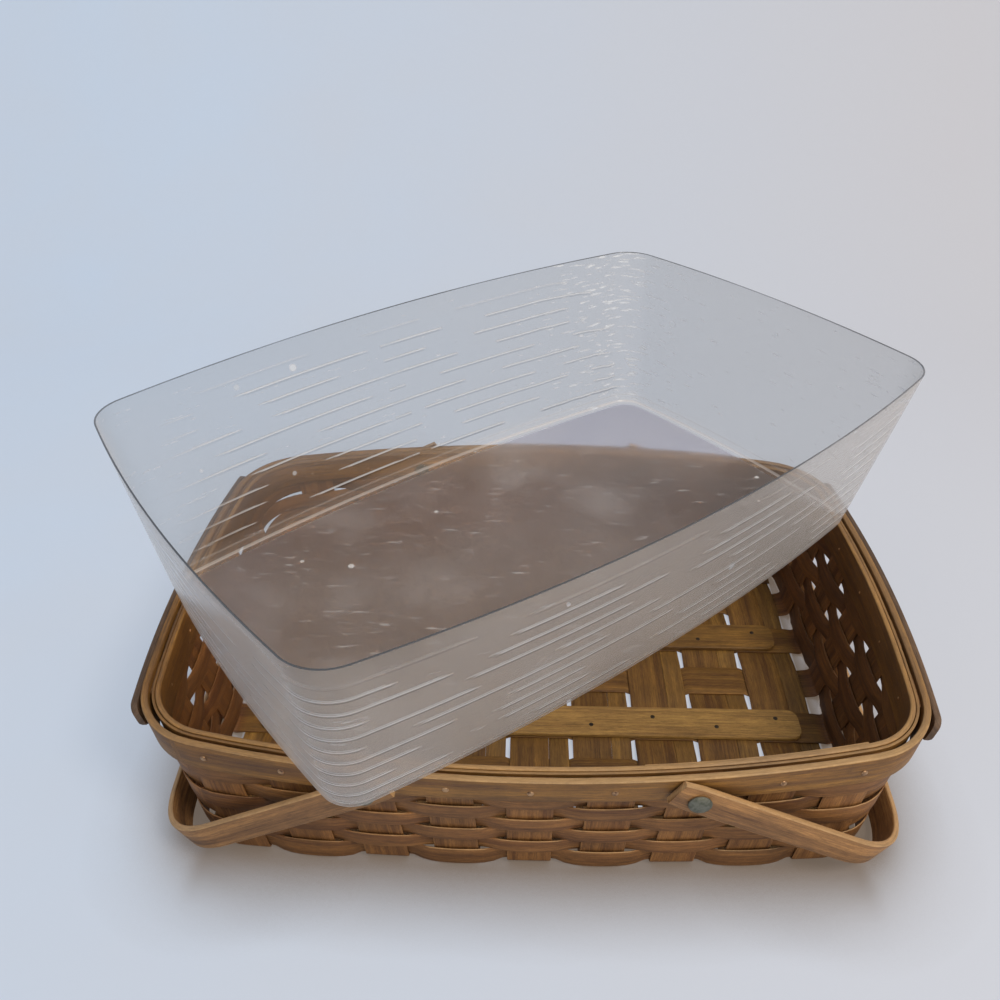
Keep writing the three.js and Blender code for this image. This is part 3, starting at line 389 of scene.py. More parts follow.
def ribbed_plastic(name, haze, frost, tint):
    """The walls: clear, with moulded ribs drawn as painted highlights and shade, which waver where the wall
    carries scratches.
    """
    material, tree = new_material(name)
    place, milky, scuffed_and_glinting, cloud = plastic_places(tree)
    panel = add_node(tree, "Attribute", attribute_name="panel")["Vector"]
    around, height, strength = add_node(tree, "SeparateXYZ", (panel,))[:3]
    waver = add_node(tree, "Math", (cloud, 26.0, -13.0), operation="MULTIPLY_ADD")[0]
    up = add_node(tree, "Math", (waver, scuffed_and_glinting, height), operation="MULTIPLY_ADD")[0]
    rib, shade = rib_lines(tree, up, around, strength)

    worn = add_node(tree, "Math", (scuffed_and_glinting, 0.1), operation="MULTIPLY")[0]
    bright = add_node(tree, "Math", (scuffed_and_glinting, 0.3, 0.45), operation="MULTIPLY_ADD")[0]
    scuff = scratches(tree, panel, (14.286, 2.0, 1.0), worn, bright)
    speck = specks(tree, place, SPECK_SPACING)
    cover = haze_and_mirror(tree, cloud, haze, milky)
    # The ribs and the foot's two lines are painted highlights, laid on as pale cover.
    cover = add_node(tree, "Math", (rib, 0.6, cover), operation="MULTIPLY_ADD")[0]
    cover = add_node(tree, "Math", (foot_highlights(tree, height), 0.28, cover), operation="MULTIPLY_ADD")[0]

    # Painted shade beside each rib: there the sheet lets through a darker grey.
    dark = add_node(tree, "MapRange", (milky, 0.3, 0.5, 0.15, 0.6))[0]
    dark = add_node(tree, "Math", (shade, dark), operation="MULTIPLY")[0]
    body = {SHARE: dark, FIRST: linear(0xF4F5F5), SECOND: linear(0x7C7E82)}
    body = add_node(tree, "Mix", body, **BLEND)[MIXED]
    # Ribs, scratches and specks share a cool pale colour; on the ribs it is a painted highlight.
    marked = add_node(tree, "Math", (scuff, speck), operation="MAXIMUM")[0]
    marked = add_node(tree, "Math", (marked, 2.2), operation="MULTIPLY")[0]
    marked = add_node(tree, "Math", (rib, marked), operation="MAXIMUM", use_clamp=True)[0]
    pale = {SHARE: marked, FIRST: linear(tint), SECOND: linear(0xE8EEF6)}
    pale = add_node(tree, "Mix", pale, **BLEND)[MIXED]
    relief = add_node(tree, "Math", (cloud, 1.2), operation="MULTIPLY")[0]
    relief = add_node(tree, "Math", (rib, 0.6, relief), operation="MULTIPLY_ADD")[0]
    plastic_sheet(tree, cover, (scuff, speck), pale, body, relief, frost)
    return material


def plain_plastic(name, haze, frost, tint):
    """The base and the cut edge: no ribs, and faint smudges."""
    material, tree = new_material(name)
    place, milky, _, cloud = plastic_places(tree)
    scuff = scratches(tree, place, (16.67 * MM, 2.381 * MM, 6.25 * MM), 0.055, 0.3)
    speck = specks(tree, place, BASE_SPECK_SPACING)
    cover = haze_and_mirror(tree, cloud, haze, milky)
    smudge = add_node(tree, "TexNoise", {"Vector": place, "Scale": per_metre(71.43), "Detail": 4.0})[0]
    smudge = add_node(tree, "MapRange", (smudge, 0.5, 0.72, 0.0, 0.06))[0]
    cover = add_node(tree, "Math", (smudge, milky, cover), operation="MULTIPLY_ADD")[0]
    relief = add_node(tree, "Math", (cloud, 1.2), operation="MULTIPLY")[0]
    plastic_sheet(tree, cover, (scuff, speck), linear(tint), linear(0xF7F8F8), relief, frost)
    return material


# %% Plastic materials
# Drawn sheet is glossy and clear, with a faint milk over what lies behind it.
liner_plastic = ribbed_plastic("Clear plastic sheet, faintly hazed", 0.056, 0.08, 0xEEE6E0)
# The mould's texture on the base scatters almost all that comes through.
liner_base = plain_plastic("Clear plastic sheet, textured base", 0.055, 0.95, 0xF0EEEC)
# Looked at along the sheet, a cut edge is a dark grey line.
liner_edge = plain_plastic("Clear plastic sheet, cut edge", 2.0, 0.2, 0x4C4E52)
print("plastics: 3")

# %% [markdown]
# ## The wall in plan
# The basket's outline is made of arcs: two long sides, two ends and four corners, each tangent to the
# next. It grows from the floor to the rim, so the wall flares. One outline could be scaled up, but that
# would widen the splints too. So each point of the wall is worked out from its height and from the upright
# that it belongs to. Distances are to the middle of the uprights' thickness, as in the solid model.

# %% Wall sizes
UPRIGHT_WIDTH, UPRIGHT_THICKNESS = 25.4, 1.3
WEAVE_RISE = 0.8
FLOOR_MID = WEAVE_RISE + UPRIGHT_THICKNESS / 2
BEND_RADIUS = 4.0
WALL_FOOT = FLOOR_MID + BEND_RADIUS
WEAVER_ROWS, ROW_PITCH, WEAVER_HEIGHT = 6, 12.0, 11.6
BAND_HEIGHT = 19.0
BAND_BOTTOM = WALL_FOOT + WEAVER_ROWS * ROW_PITCH + 0.3
RIM_TOP = BAND_BOTTOM + BAND_HEIGHT

# Uprights are numbered from the middle. These are the last one's number, their spacing at the floor and at
# the rim, and how far the last one keeps its corner free.
CROSS_LAST, LENGTH_LAST = 4, 2
CROSS_PITCH, LENGTH_PITCH = (41.5, 44.0), (42.0, 47.0)
REACH = UPRIGHT_WIDTH / 2 + 1

# The outline at the floor and at the rim.
HALF_LENGTH, HALF_WIDTH = (202, 224), (147, 160)
LONG_RADIUS, END_RADIUS, CORNER_RADIUS = (2400, 830), (1600, 860), (32, 46)


def lerp(low, high, share):
    return low + (high - low) * share


def clamp(value, low=0.0, high=1.0):
    return max(low, min(high, value))


def blend_radii(radii, share):
    """A radius between two others, by way of their curvature."""
    return 1 / lerp(1 / radii[0], 1 / radii[1], share)


print("rim top at", round(RIM_TOP, 2), "mm")

# %% [markdown]
# ## Outlines of arcs
# The basket and the liner are both built on this outline. An arc has a centre and a radius, so a point and
# its outward direction come from a square root, with no sampling of a drawn curve. The corner's centre has
# to suit both sides, and a few rounds of the two conditions settle it.

# %% Outline of arcs
class Plan:
    """Half length, half width, then the radii of the long sides, the ends and the corners."""

    def __init__(self, half_length, half_width, long_radius, end_radius, corner_radius):
        self.long_radius, self.end_radius, self.corner_radius = long_radius, end_radius, corner_radius
        self.long_centre = half_width - long_radius
        self.end_centre = half_length - end_radius
        x, y = half_length - corner_radius, half_width - corner_radius
        for _ in range(40):
            y = self.long_centre + math.sqrt((long_radius - corner_radius) ** 2 - x * x)
            x = self.end_centre + math.sqrt((end_radius - corner_radius) ** 2 - y * y)
        self.corner = (x, y)
        self.bare_from = math.atan2(y - self.long_centre, x)
        self.bare_to = math.atan2(y, x - self.end_centre)
        self.long_reach = x + corner_radius * math.cos(self.bare_from)
        self.end_reach = y + corner_radius * math.sin(self.bare_to)

    def on_long(self, x):
        """Point and outward normal at x along the long side, running on into the corner."""
        if x <= self.long_reach:
            y = self.long_centre + math.sqrt(self.long_radius ** 2 - x * x)
            return Vector((x, y)), Vector((x, y - self.long_centre)).normalized()
        rise = math.sqrt(max(self.corner_radius ** 2 - (x - self.corner[0]) ** 2, 0))
        return Vector((x, self.corner[1] + rise)), Vector((x - self.corner[0], rise)).normalized()

    def on_end(self, y, keep_to_arc=False):
        if keep_to_arc or y <= self.end_reach:
            x = self.end_centre + math.sqrt(self.end_radius ** 2 - y * y)
            return Vector((x, y)), Vector((x - self.end_centre, y)).normalized()
        reach = math.sqrt(max(self.corner_radius ** 2 - (y - self.corner[1]) ** 2, 0))
        return Vector((self.corner[0] + reach, y)), Vector((reach, y - self.corner[1])).normalized()

    def on_corner(self, share):
        """A point on the corner, from where the long side leaves it bare to where the end does."""
        angle = lerp(self.bare_from, self.bare_to, share)
        normal = Vector((math.cos(angle), math.sin(angle)))
        return Vector(self.corner) + normal * self.corner_radius, normal


wall_plans = {}


def wall_plan(z):
    """The wall's outline at a height, with the uprights' spacing there."""
    key = round(z, 3)
    if key not in wall_plans:
        level = (z - WALL_FOOT) / (RIM_TOP - WALL_FOOT)
        plan = Plan(lerp(*HALF_LENGTH, level), lerp(*HALF_WIDTH, level), blend_radii(LONG_RADIUS, level),
                    blend_radii(END_RADIUS, level), lerp(*CORNER_RADIUS, level))
        plan.pitch_x, plan.pitch_y = lerp(*CROSS_PITCH, level), lerp(*LENGTH_PITCH, level)
        long_edge = plan.on_long(CROSS_LAST * plan.pitch_x + REACH)[1]
        end_edge = plan.on_end(LENGTH_LAST * plan.pitch_y + REACH)[1]
        plan.bare_from = min(plan.bare_from, math.atan2(long_edge.y, long_edge.x))
        plan.bare_to = max(plan.bare_to, math.atan2(end_edge.y, end_edge.x))
        wall_plans[key] = plan
    return wall_plans[key]


print("corner's centre at the rim:", [round(value, 1) for value in wall_plan(RIM_TOP).corner])

# %% [markdown]
# ## Places on the wall
# A weaver has to know where it is between two uprights, not only how far round the wall. So a place is
# named by its side, the nearest upright and the distance from that upright's middle, or by a corner and a
# share of it. A walk round the wall gives these places in order, with a phase that is a whole number at the
# middle of each upright.

# %% Places on the wall
def wall_point(station, z, offset):
    """A station is (side, upright number, distance from its middle), or (corner's signs, share)."""
    plan = wall_plan(z)
    if station[0] in ("front", "back"):
        along = station[1] * plan.pitch_x + station[2]
        point, normal = plan.on_long(abs(along))
        signs = (math.copysign(1, along), -1 if station[0] == "front" else 1)
    elif station[0] in ("right", "left"):
        along = station[1] * plan.pitch_y + station[2]
        point, normal = plan.on_end(abs(along), keep_to_arc=len(station) > 3)
        signs = (1 if station[0] == "right" else -1, math.copysign(1, along))
    else:
        point, normal = plan.on_corner(station[1])
        signs = station[0]
    place = point + normal * offset
    return Vector((place.x * signs[0], place.y * signs[1], z))


# Each side in order, with its last upright's number, its direction, and the corner after it: the corner's
# signs, and whether it starts from a long side.
SIDES = (
    ("front", CROSS_LAST, 1, (1, -1), True),
    ("right", LENGTH_LAST, 1, (1, 1), False),
    ("back", CROSS_LAST, -1, (-1, 1), True),
    ("left", LENGTH_LAST, -1, (-1, -1), False),
)
EDGE_PHASE = 0.31


def ring_stations(steps=8, corner_steps=14):
    """(station, phase) all the way round. The phase is a whole number at the middle of each upright."""
    stations, count = [], 0
    for side, last, forward, signs, from_long in SIDES:
        for share in (-1, -0.5):
            stations.append(((side, -last * forward, forward * share * REACH), count + EDGE_PHASE * share))
        for i in range(2 * last * steps + 1):
            stations.append(((side, forward * (i / steps - last), 0.0), count + i / steps))
        count += 2 * last
        for share in (0.5, 1):
            stations.append(((side, last * forward, forward * share * REACH), count + EDGE_PHASE * share))
        for i in range(1, corner_steps):
            share = i / corner_steps
            phase = count + lerp(EDGE_PHASE, 1 - EDGE_PHASE, share)
            stations.append(((signs, share if from_long else 1 - share), phase))
        count += 1
    return stations


def distances(points):
    """How far along a line of points each of them is."""
    along = [0.0]
    for before, after in zip(points, points[1:]):
        along.append(along[-1] + (after - before).length)
    return along


print("stations round the wall:", len(ring_stations()))

# %% [markdown]
# ## Lofting
# Every splint and band is long, thin and bent, with one section all along. A curve with a bevel would do
# for a plain one, but here the section also leans with the wall and dips with the weave. So the sections
# are placed one by one and joined by quads, and the loft writes the grain, and the patina and painted light,
# that the wood reads.

# %% Lofting
SHARP_ANGLE = math.radians(35)


def rounded(width, height, radius, steps=2):
    """Corner-rounded rectangle from (0, 0) to (width, height), as (x, y) points."""
    points = []
    for cx, cy, start in ((width - radius, radius, -90), (width - radius, height - radius, 0),
                          (radius, height - radius, 90), (radius, radius, 180)):
        for i in range(steps + 1):
            angle = math.radians(start + 90 * i / steps)
            points.append((cx + radius * math.cos(angle), cy + radius * math.sin(angle)))
    return points


def tube_faces(rows, count, closed=False, base=0):
    """Quads between rings of count points, with a face at each end unless the last ring meets the first."""
    faces = []
    for row in range(rows if closed else rows - 1):
        here, after = base + row * count, base + (row + 1) % rows * count
        for j in range(count):
            k = (j + 1) % count
            faces.append((here + j, here + k, after + k, after + j))
    if not closed:
        last = base + (rows - 1) * count
        faces.append(tuple(reversed(range(base, base + count))))
        faces.append(tuple(range(last, last + count)))
    return faces


def solid_mesh(name, points, faces):
    """A mesh from points in mm, with its faces turned outwards."""
    mesh = bpy.data.meshes.new(name)
    mesh.from_pydata([point * MM for point in points], [], faces)
    mesh.validate()
    if sum(face.center.dot(face.normal) * face.area for face in mesh.polygons) < 0:
        mesh.flip_normals()
    return mesh


def write_attribute(mesh, name, kind, values):
    attribute = mesh.attributes.new(name, kind, "POINT")
    field = "vector" if kind == "FLOAT_VECTOR" else "value"
    for item, value in zip(attribute.data, values):
        setattr(item, field, value)


def loft_mesh(name, rows, seed, closed=False):
    """rows: equal loops of (point, mm along the grain, mm across it, patina). seed is the piece's number."""
    marks = [mark for row in rows for mark in row]
    faces = tube_faces(len(rows), len(rows[0]), closed)
    mesh = solid_mesh(name, [point for point, along, across, patina_and_painted_light in marks], faces)
    write_attribute(mesh, "grain", "FLOAT_VECTOR", [(along, across, seed) for _, along, across, _ in marks])
    write_attribute(mesh, "patina_and_painted_light", "FLOAT", [patina_and_painted_light for _, _, _, patina_and_painted_light in marks])
    return mesh


def new_object(name, mesh, material, body, replaced=()):
    """Puts a mesh in the scene on a body, in place of the solid nodes it replaces."""
    mesh.materials.append(material)
    mesh.shade_smooth()
    mesh.set_sharp_from_angle(angle=SHARP_ANGLE)
    obj = bpy.data.objects.new(name, mesh)
    bpy.context.scene.collection.objects.link(obj)
    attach(obj, body)
    if replaced:
        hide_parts(*replaced)


piece_count = 0


def next_seed():
    """A new number for each wooden piece, so that no two have the same figure."""
    global piece_count
    piece_count += 1
    return piece_count * 1.37


print("lofting ready, edges sharper than", round(math.degrees(SHARP_ANGLE)), "degrees stay sharp")

# %% [markdown]
# ## The floor's weave
# On the floor a splint rises over one crossing and dips under the next. A sine wave would make it swim, as
# cloth does. Split wood is stiff, so it lies level over each crossing and steps smoothly between them. Its
# section is thinner at the edges, as split wood is.

# %% Floor weave
ACROSS = (-1, -0.94, -0.5, 0, 0.5, 0.94, 1)
THIN = (0.45, 0.95, 1, 1, 1, 0.95, 0.45)
EDGE_SPLINT_Y = 121.0
FILLER_GAP, FILLER_REACH = 0.1, 13.2
CROSSING = UPRIGHT_WIDTH / 2 + 0.2
FLOOR_LIGHT, UNDERSIDE = -1.0, 0.5

row_middles = [j * LENGTH_PITCH[0] for j in range(-LENGTH_LAST, LENGTH_LAST + 1)]
OVER_ROWS = [(y - CROSSING, y + CROSSING) for y in (-EDGE_SPLINT_Y, *row_middles, EDGE_SPLINT_Y)]
OVER_COLUMNS = [(k * CROSS_PITCH[0] - CROSSING - (FILLER_REACH if k == -CROSS_LAST else 0),
                 k * CROSS_PITCH[0] + CROSSING + FILLER_REACH) for k in range(-CROSS_LAST, CROSS_LAST + 1)]


def floor_height(position, crossings, first_number):
    """Middle height on the floor: up or down at each crossing, with a smooth step between them."""
    sign = 1 if first_number % 2 == 0 else -1
    for (low, high), (low_next, _) in zip(crossings, crossings[1:]):
        if position <= high:
            break
        if position < low_next:
            sign *= math.cos(math.pi * (position - high) / (low_next - high))
            break
        sign = -sign
    return FLOOR_MID + WEAVE_RISE * sign


def splint_row(place, width, along, light, indoors, edge=0.0):
    """One section of a splint. place(across, height) gives a point, with height towards the outside."""
    half = UPRIGHT_THICKNESS / 2
    outer = [(a * width / 2, half * t) for a, t in zip(ACROSS, THIN)]
    inner = [(a, -h) for a, h in reversed(outer)]
    return [(place(a, h), along, a + h,
             (light if h > 0 else indoors) + (edge if abs(a) > 0.49 * width else 0.0))
            for a, h in outer + inner]


def painted_inner_light(x, y):
    """Painted light on the wall's inner face: lightest at the back left, where the light comes through the
    liner.
    """
    return 0.7 * clamp((y - 100) / 40) * clamp((60 - x) / 90)


def painted_left_shade(x):
    """Painted shade: the left end is a little darker on its outside."""
    return 0.28 * clamp((-x - 30) / 130)


print("crossings:", len(OVER_ROWS), "along the width and", len(OVER_COLUMNS), "along the length")

# %% [markdown]
# ## Uprights
# Each wide splint is one piece: it runs up one wall, round a small bend, across the floor and up the other
# wall. Two walls and a floor could be three meshes, but the grain would break at the bend, and the real
# splint is whole. So one loft follows it from rim to rim.

# %% Uprights
UPRIGHT_TOP = RIM_TOP - 2.5
WALL_STEPS, BEND_ANGLES = 20, (67, 45, 22, 0)
OUTWARD = {"front": (0, -1), "back": (0, 1), "left": (-1, 0), "right": (1, 0)}


def bend_place(side, index, angle):
    """place(across, height) at an angle of the bend, from 0 at the floor."""
    out_x, out_y = OUTWARD[side]

    def place(a, h):
        foot = wall_point((side, index, a), WALL_FOOT, 0)
        reach = (BEND_RADIUS + h) * math.sin(angle) - BEND_RADIUS
        drop = (BEND_RADIUS + h) * math.cos(angle)
        return Vector((foot.x + out_x * reach, foot.y + out_y * reach, WALL_FOOT - drop))
    return place


def floor_place(middle, position, height, crosswise):
    """place(across, height) on the floor, for a splint whose middle line keeps to one x or one y."""
    def place(a, h):
        x, y = (middle + a, position) if crosswise else (position, middle + a)
        return Vector((x, y, height - h))
    return place


def upright(name, crosswise, index):
    """One long splint, from rim to rim. crosswise is True for those that run along Y."""
    middle = index * (CROSS_PITCH if crosswise else LENGTH_PITCH)[0]
    crossings = OVER_ROWS if crosswise else OVER_COLUMNS
    sides = ("front", "back") if crosswise else ("left", "right")
    floor_end = crossings[-1][1]
    seed, rows = next_seed(), []

    def add(place, along, light, indoors=0.0):
        rows.append(splint_row(place, UPRIGHT_WIDTH, along, light, indoors, edge=0.2))

    def wall(side, z, along):
        # The outside takes painted shade at the left end, and the inside painted light at the back left.
        centre = wall_point((side, index, 0), z, 0)
        add(lambda a, h: wall_point((side, index, a), z, h), along, 0.9 - painted_left_shade(centre.x),
            painted_inner_light(centre.x, centre.y))

    heights = [lerp(UPRIGHT_TOP, WALL_FOOT, i / WALL_STEPS) for i in range(WALL_STEPS + 1)]
    for z in heights:
        wall(sides[0], z, -z)
    for angle in BEND_ANGLES:
        add(bend_place(sides[0], index, math.radians(angle)), 4.0, 0.7)
    steps = 90 if crosswise else 120
    for i in range(steps + 1):
        position = lerp(-floor_end, floor_end, i / steps)
        height = floor_height(position, crossings, index - 3 if crosswise else index + 1)
        add(floor_place(middle, position, height, crosswise), position + floor_end + 10, UNDERSIDE,
            FLOOR_LIGHT)
    for angle in reversed(BEND_ANGLES):
        add(bend_place(sides[1], index, math.radians(angle)), 2 * floor_end + 16, 0.7)
    for z in reversed(heights):
        wall(sides[1], z, 2 * floor_end + 20 + z)
    return loft_mesh(name, rows, seed)


for kind, last in (("crosswise", CROSS_LAST), ("lengthwise", LENGTH_LAST)):
    for number in range(2 * last + 1):
        node = f"{kind}_upright_{number + 1}"
        mesh = upright(node + "_splint", kind == "crosswise", number - last)
        new_object(node + "_splint", mesh, splint_wood, "basket", [node])
    print(kind, "uprights:", 2 * last + 1)

# %% [markdown]
# ## Splints that stay on the floor
# A narrow filler lies to the right of each wide crosswise splint and weaves with it, and one more lies to
# the left of the first. A wide splint runs along each long side, outside the lengthwise uprights. They are
# lofts like the uprights, without walls.

# %% Floor splints
FILLER_ASIDE = UPRIGHT_WIDTH / 2 + (FILLER_GAP + FILLER_REACH) / 2
FILLER_END, EDGE_SPLINT_END = 135.5, 193.0
FLOOR_STEPS = 120


def floor_splint(node, middle, width, end, crossings, first_number, crosswise, material):
    seed, rows = next_seed(), []
    for i in range(FLOOR_STEPS + 1):
        position = lerp(-end, end, i / FLOOR_STEPS)
        place = floor_place(middle, position, floor_height(position, crossings, first_number), crosswise)
        rows.append(splint_row(place, width, position, UNDERSIDE, FLOOR_LIGHT))
    new_object(node + "_splint", loft_mesh(node + "_splint", rows, seed), material, "basket", [node])


columns = [(index, FILLER_ASIDE) for index in range(-CROSS_LAST, CROSS_LAST + 1)]
columns.append((-CROSS_LAST, -FILLER_ASIDE))
for number, (index, aside) in enumerate(columns, 1):
    floor_splint(f"floor_filler_{number}", index * CROSS_PITCH[0] + aside, FILLER_REACH - FILLER_GAP,
                 FILLER_END, OVER_ROWS, index - 3, True, floor_wood)
for name, row in (("near", -3), ("far", 3)):
    floor_splint(f"floor_edge_splint_{name}", math.copysign(EDGE_SPLINT_Y, row), UPRIGHT_WIDTH,
                 EDGE_SPLINT_END, OVER_COLUMNS, row + 1, False, splint_wood)
print("floor splints:", len(columns) + 2)

# %% [markdown]
# ## Weavers
# Each row passes outside one upright and inside the next, and bulges a little where it passes over. Its
# two ends meet behind an upright, so a closed ring shows the same. The phase of each place on the wall says
# how far out the row is there, and the rows' edges swell where their neighbours leave room.

# %% Weavers
WEAVER_THICKNESS = 1.0
WEAVER_WANDER = 0.25


def weave_offset(phase, row):
    """Distance of a weaver's middle from the uprights' middle: a flat top with a soft bulge on it."""
    wave = math.cos(math.pi * (phase + row + 1))
    flat = math.sin(math.pi / 2 * clamp(1.55 * wave, -1.0))
    return 1.42 * flat + 0.75 * wave * wave * math.copysign(1, wave)


def weaver_edges(offset, row):
    """How far a row's lower and upper edges reach beyond its height, where it is clear of its neighbours."""
    share = clamp(offset / 2.2, -1.0)
    if row == 0 and share > -0.8:
        return -4.0 * min(1.0, (share + 0.8) / 0.5), 0.9 * max(0.0, share)
    return 1.9 * min(0.0, share), (0.9 if row < WEAVER_ROWS - 1 else 0.5) * max(0.0, share)


def weaver_patina_and_painted_light(x, y, offset, here):
    """Paler on the upper edge where the row stands out: worn, with a painted highlight. Handled outside, with
    painted shade at the left end; dusty inside, in painted shade, with painted light at the back left.
    """
    if x <= 0.3:
        return painted_inner_light(here.x, here.y)
    return (1.35 if y > WEAVER_HEIGHT - 0.3 and offset > 0.6 else 0.85) - painted_left_shade(here.x)


weaver_section = rounded(WEAVER_THICKNESS, WEAVER_HEIGHT, 0.45)
for row in range(WEAVER_ROWS):
    bottom, seed, rows = WALL_FOOT + row * ROW_PITCH, next_seed(), []
    stations = [(station, weave_offset(phase, row)) for station, phase in ring_stations()]
    middles = [wall_point(station, bottom, offset) for station, offset in stations]
    for (station, offset), here, along in zip(stations, middles, distances(middles)):
        start = bottom + WEAVER_WANDER * noise.noise(Vector((along * 0.02, row * 5.1, 0.0)))
        lower, upper = weaver_edges(offset, row)
        rows.append([(wall_point(station, start + y + lerp(lower, upper, y / WEAVER_HEIGHT),
                                 offset + x - WEAVER_THICKNESS / 2),
                      along, x + y, weaver_patina_and_painted_light(x, y, offset, here)) for x, y in weaver_section])
    node = f"weaver_row_{row + 1}"
    mesh = loft_mesh(node + "_splint", rows, seed, closed=True)
    new_object(node + "_splint", mesh, splint_wood, "basket", [node])
print("weaver rows:", WEAVER_ROWS)

# %% [markdown]
# ## Rim
# Two bands clamp the uprights' tops, with a thin strip between them on the inside. The uprights stop short
# of the top, which leaves the dark groove. A band bent from one plank wanders a little in height, so the
# rings do too, by a slow noise that grows towards the top.

# %% Rim
RIM_GAP = 0.35
BAND_THICKNESS, STRIP_THICKNESS, INNER_BAND_THICKNESS = 4.0, 1.6, 3.0
BAND_ROUND, STRIP_ROUND = 0.9, 0.4
STRIP_HEIGHT, STRIP_DEPTH = 17.5, 18.0
band_inside = UPRIGHT_THICKNESS / 2 + RIM_GAP
band_outside = band_inside + BAND_THICKNESS
strip_inside = -band_inside - STRIP_THICKNESS
inner_outside = strip_inside - RIM_GAP
inner_inside = inner_outside - INNER_BAND_THICKNESS


def rim_ring(node, inside, thickness, bottom, height, radius, inner, front_top_highlight):
    """The two values after the radius are for the ring's inner face, and for its top edge at the front, which
    carries a painted highlight over the wear.
    """
    seed, rows = next_seed(), []
    section = rounded(thickness, height, radius, 3)
    stations = [station for station, _ in ring_stations(4, 12)]
    middles = [wall_point(station, bottom, inside) for station in stations]
    for station, here, along in zip(stations, middles, distances(middles)):
        wander = 0.22 * noise.noise(Vector((along * 0.012, seed, 0.0)))
        # Painted shade at the left end, a painted highlight on the top edge at the front, and painted light
        # on the inner face at the back left.
        shade = painted_left_shade(here.x)
        top = lerp(1.12, front_top_highlight, clamp((-here.y - 95) / 45)) - 0.5 * shade
        inner_face = inner + painted_inner_light(here.x, here.y)
        rows.append([(wall_point(station, bottom + y + wander * (y / height), inside + x), along, x + y,
                      top if y > height - radius else 0.95 - shade if x > thickness / 2 else inner_face)
                     for x, y in section])
    mesh = loft_mesh(node + "_band", rows, seed, closed=True)
    new_object(node + "_band", mesh, band_wood, "basket", [node])


rim_ring("rim_outer_band", band_inside, BAND_THICKNESS, BAND_BOTTOM, BAND_HEIGHT, BAND_ROUND, 0.5, 1.35)
rim_ring("rim_filler_strip", strip_inside, STRIP_THICKNESS, RIM_TOP - STRIP_DEPTH, STRIP_HEIGHT,
         STRIP_ROUND, 0.6, 1.2)
rim_ring("rim_inner_band", inner_inside, INNER_BAND_THICKNESS, BAND_BOTTOM, BAND_HEIGHT, BAND_ROUND,
         0.1, 1.3)
print("rim rings: 3")

# %% [markdown]
# ## Lap of the inner band
# The inner band's ends lap in a long scarf, and the cut tip shows inside the front right corner. The ring
# itself stays whole, and the tip is a thin wedge laid on its inner face.

# %% Lap of the inner band
LAP_FROM, LAP_TO, LAP_STEPS = 60, 182, 30
LAP_BOTTOM = RIM_TOP - 18.4
lap_seed, lap_rows = next_seed(), []
for i in range(LAP_STEPS + 1):
    share = i / LAP_STEPS
    along, thickness = lerp(LAP_FROM, LAP_TO, share), lerp(0.5, 1.8, share)
    section = rounded(thickness, lerp(17.8, 16.6, share), 0.24)
    lap_rows.append([(wall_point(("front", 0, along), LAP_BOTTOM + y, inner_inside - 0.15 - thickness + x),
                      along, x + y, 1.3 if y > 16 else 0.5) for x, y in section])
mesh = loft_mesh("rim_inner_band_lap", lap_rows, lap_seed)
new_object("rim_inner_band_lap", mesh, band_wood, "basket")
print("lap:", LAP_TO - LAP_FROM, "mm long")

# %% [markdown]
# ## Slats
# Two slats lie on the floor weave, rounded at their ends. One more runs along the outside of the rim at
# each end, and its tips go on past the corners. A slat could be a box with a bevel, but those at the ends
# follow the rim's curve. So a level slat is lofted along its length, and a function bends each point into
# its place. The sections crowd at the ends, where the corners are rounded.

# %% Slats
SLAT_STEPS = 40


def flat_slat(name, half_length, half_width, corner, thickness, edge, place, patina_and_painted_light):
    """A board with rounded corners and eased long edges. place(x, y, z) bends it."""
    levels = ((0.0, edge), (edge, 0.0), (thickness - edge, 0.0), (thickness, edge))
    seed, rows = next_seed(), []
    for i in range(SLAT_STEPS + 1):
        x = -math.cos(math.pi * i / SLAT_STEPS) * half_length
        inset = max(abs(x) - (half_length - corner), 0.0)
        narrow = corner - math.sqrt(max(corner ** 2 - inset ** 2, 0.0)) if inset else 0.0
        half = half_width - min(narrow, half_width - 1.5)
        loop = [(half - inwards * 0.8, z) for z, inwards in levels]
        loop += [(-y, z) for y, z in reversed(loop)]
        rows.append([(place(x, y, z), x, y + z, patina_and_painted_light) for y, z in loop])
    return loft_mesh(name, rows, seed)


FLOOR_SLAT = {"half_length": 181, "half_width": 12.5, "corner": 7, "thickness": 3.2, "edge": 0.6}
END_SLAT = {"half_length": 118, "half_width": 8.75, "corner": 5, "thickness": 3.5, "edge": 0.7}
SLAT_GAP = 0.3
slat_bottom = FLOOR_MID + WEAVE_RISE + UPRIGHT_THICKNESS / 2 + SLAT_GAP
slat_top = slat_bottom + FLOOR_SLAT["thickness"]
end_top = RIM_TOP - 0.8
end_middle = end_top - END_SLAT["half_width"]
end_outside = band_outside + SLAT_GAP + END_SLAT["thickness"]


def on_floor(middle_y):
    return lambda x, across, z: Vector((x, middle_y + across, slat_bottom + z))


def on_rim_end(side):
    return lambda along, up, depth: wall_point(
        (side, 0, along, "past the corner"), end_middle + up, band_outside + SLAT_GAP + depth)


# The far slat is painted darker, as shade.
for name, y, light in (("near", -LENGTH_PITCH[0], 0.8), ("far", LENGTH_PITCH[0], -0.1)):
    mesh = flat_slat(f"floor_slat_{name}_board", place=on_floor(y), patina_and_painted_light=light, **FLOOR_SLAT)
    new_object(f"floor_slat_{name}_board", mesh, floor_wood, "basket", [f"floor_slat_{name}"])
for side in ("right", "left"):
    mesh = flat_slat(f"end_slat_{side}_board", place=on_rim_end(side), patina_and_painted_light=0.8, **END_SLAT)
    new_object(f"end_slat_{side}_board", mesh, slat_wood, "basket", [f"end_slat_{side}"])
print("slats: 4")

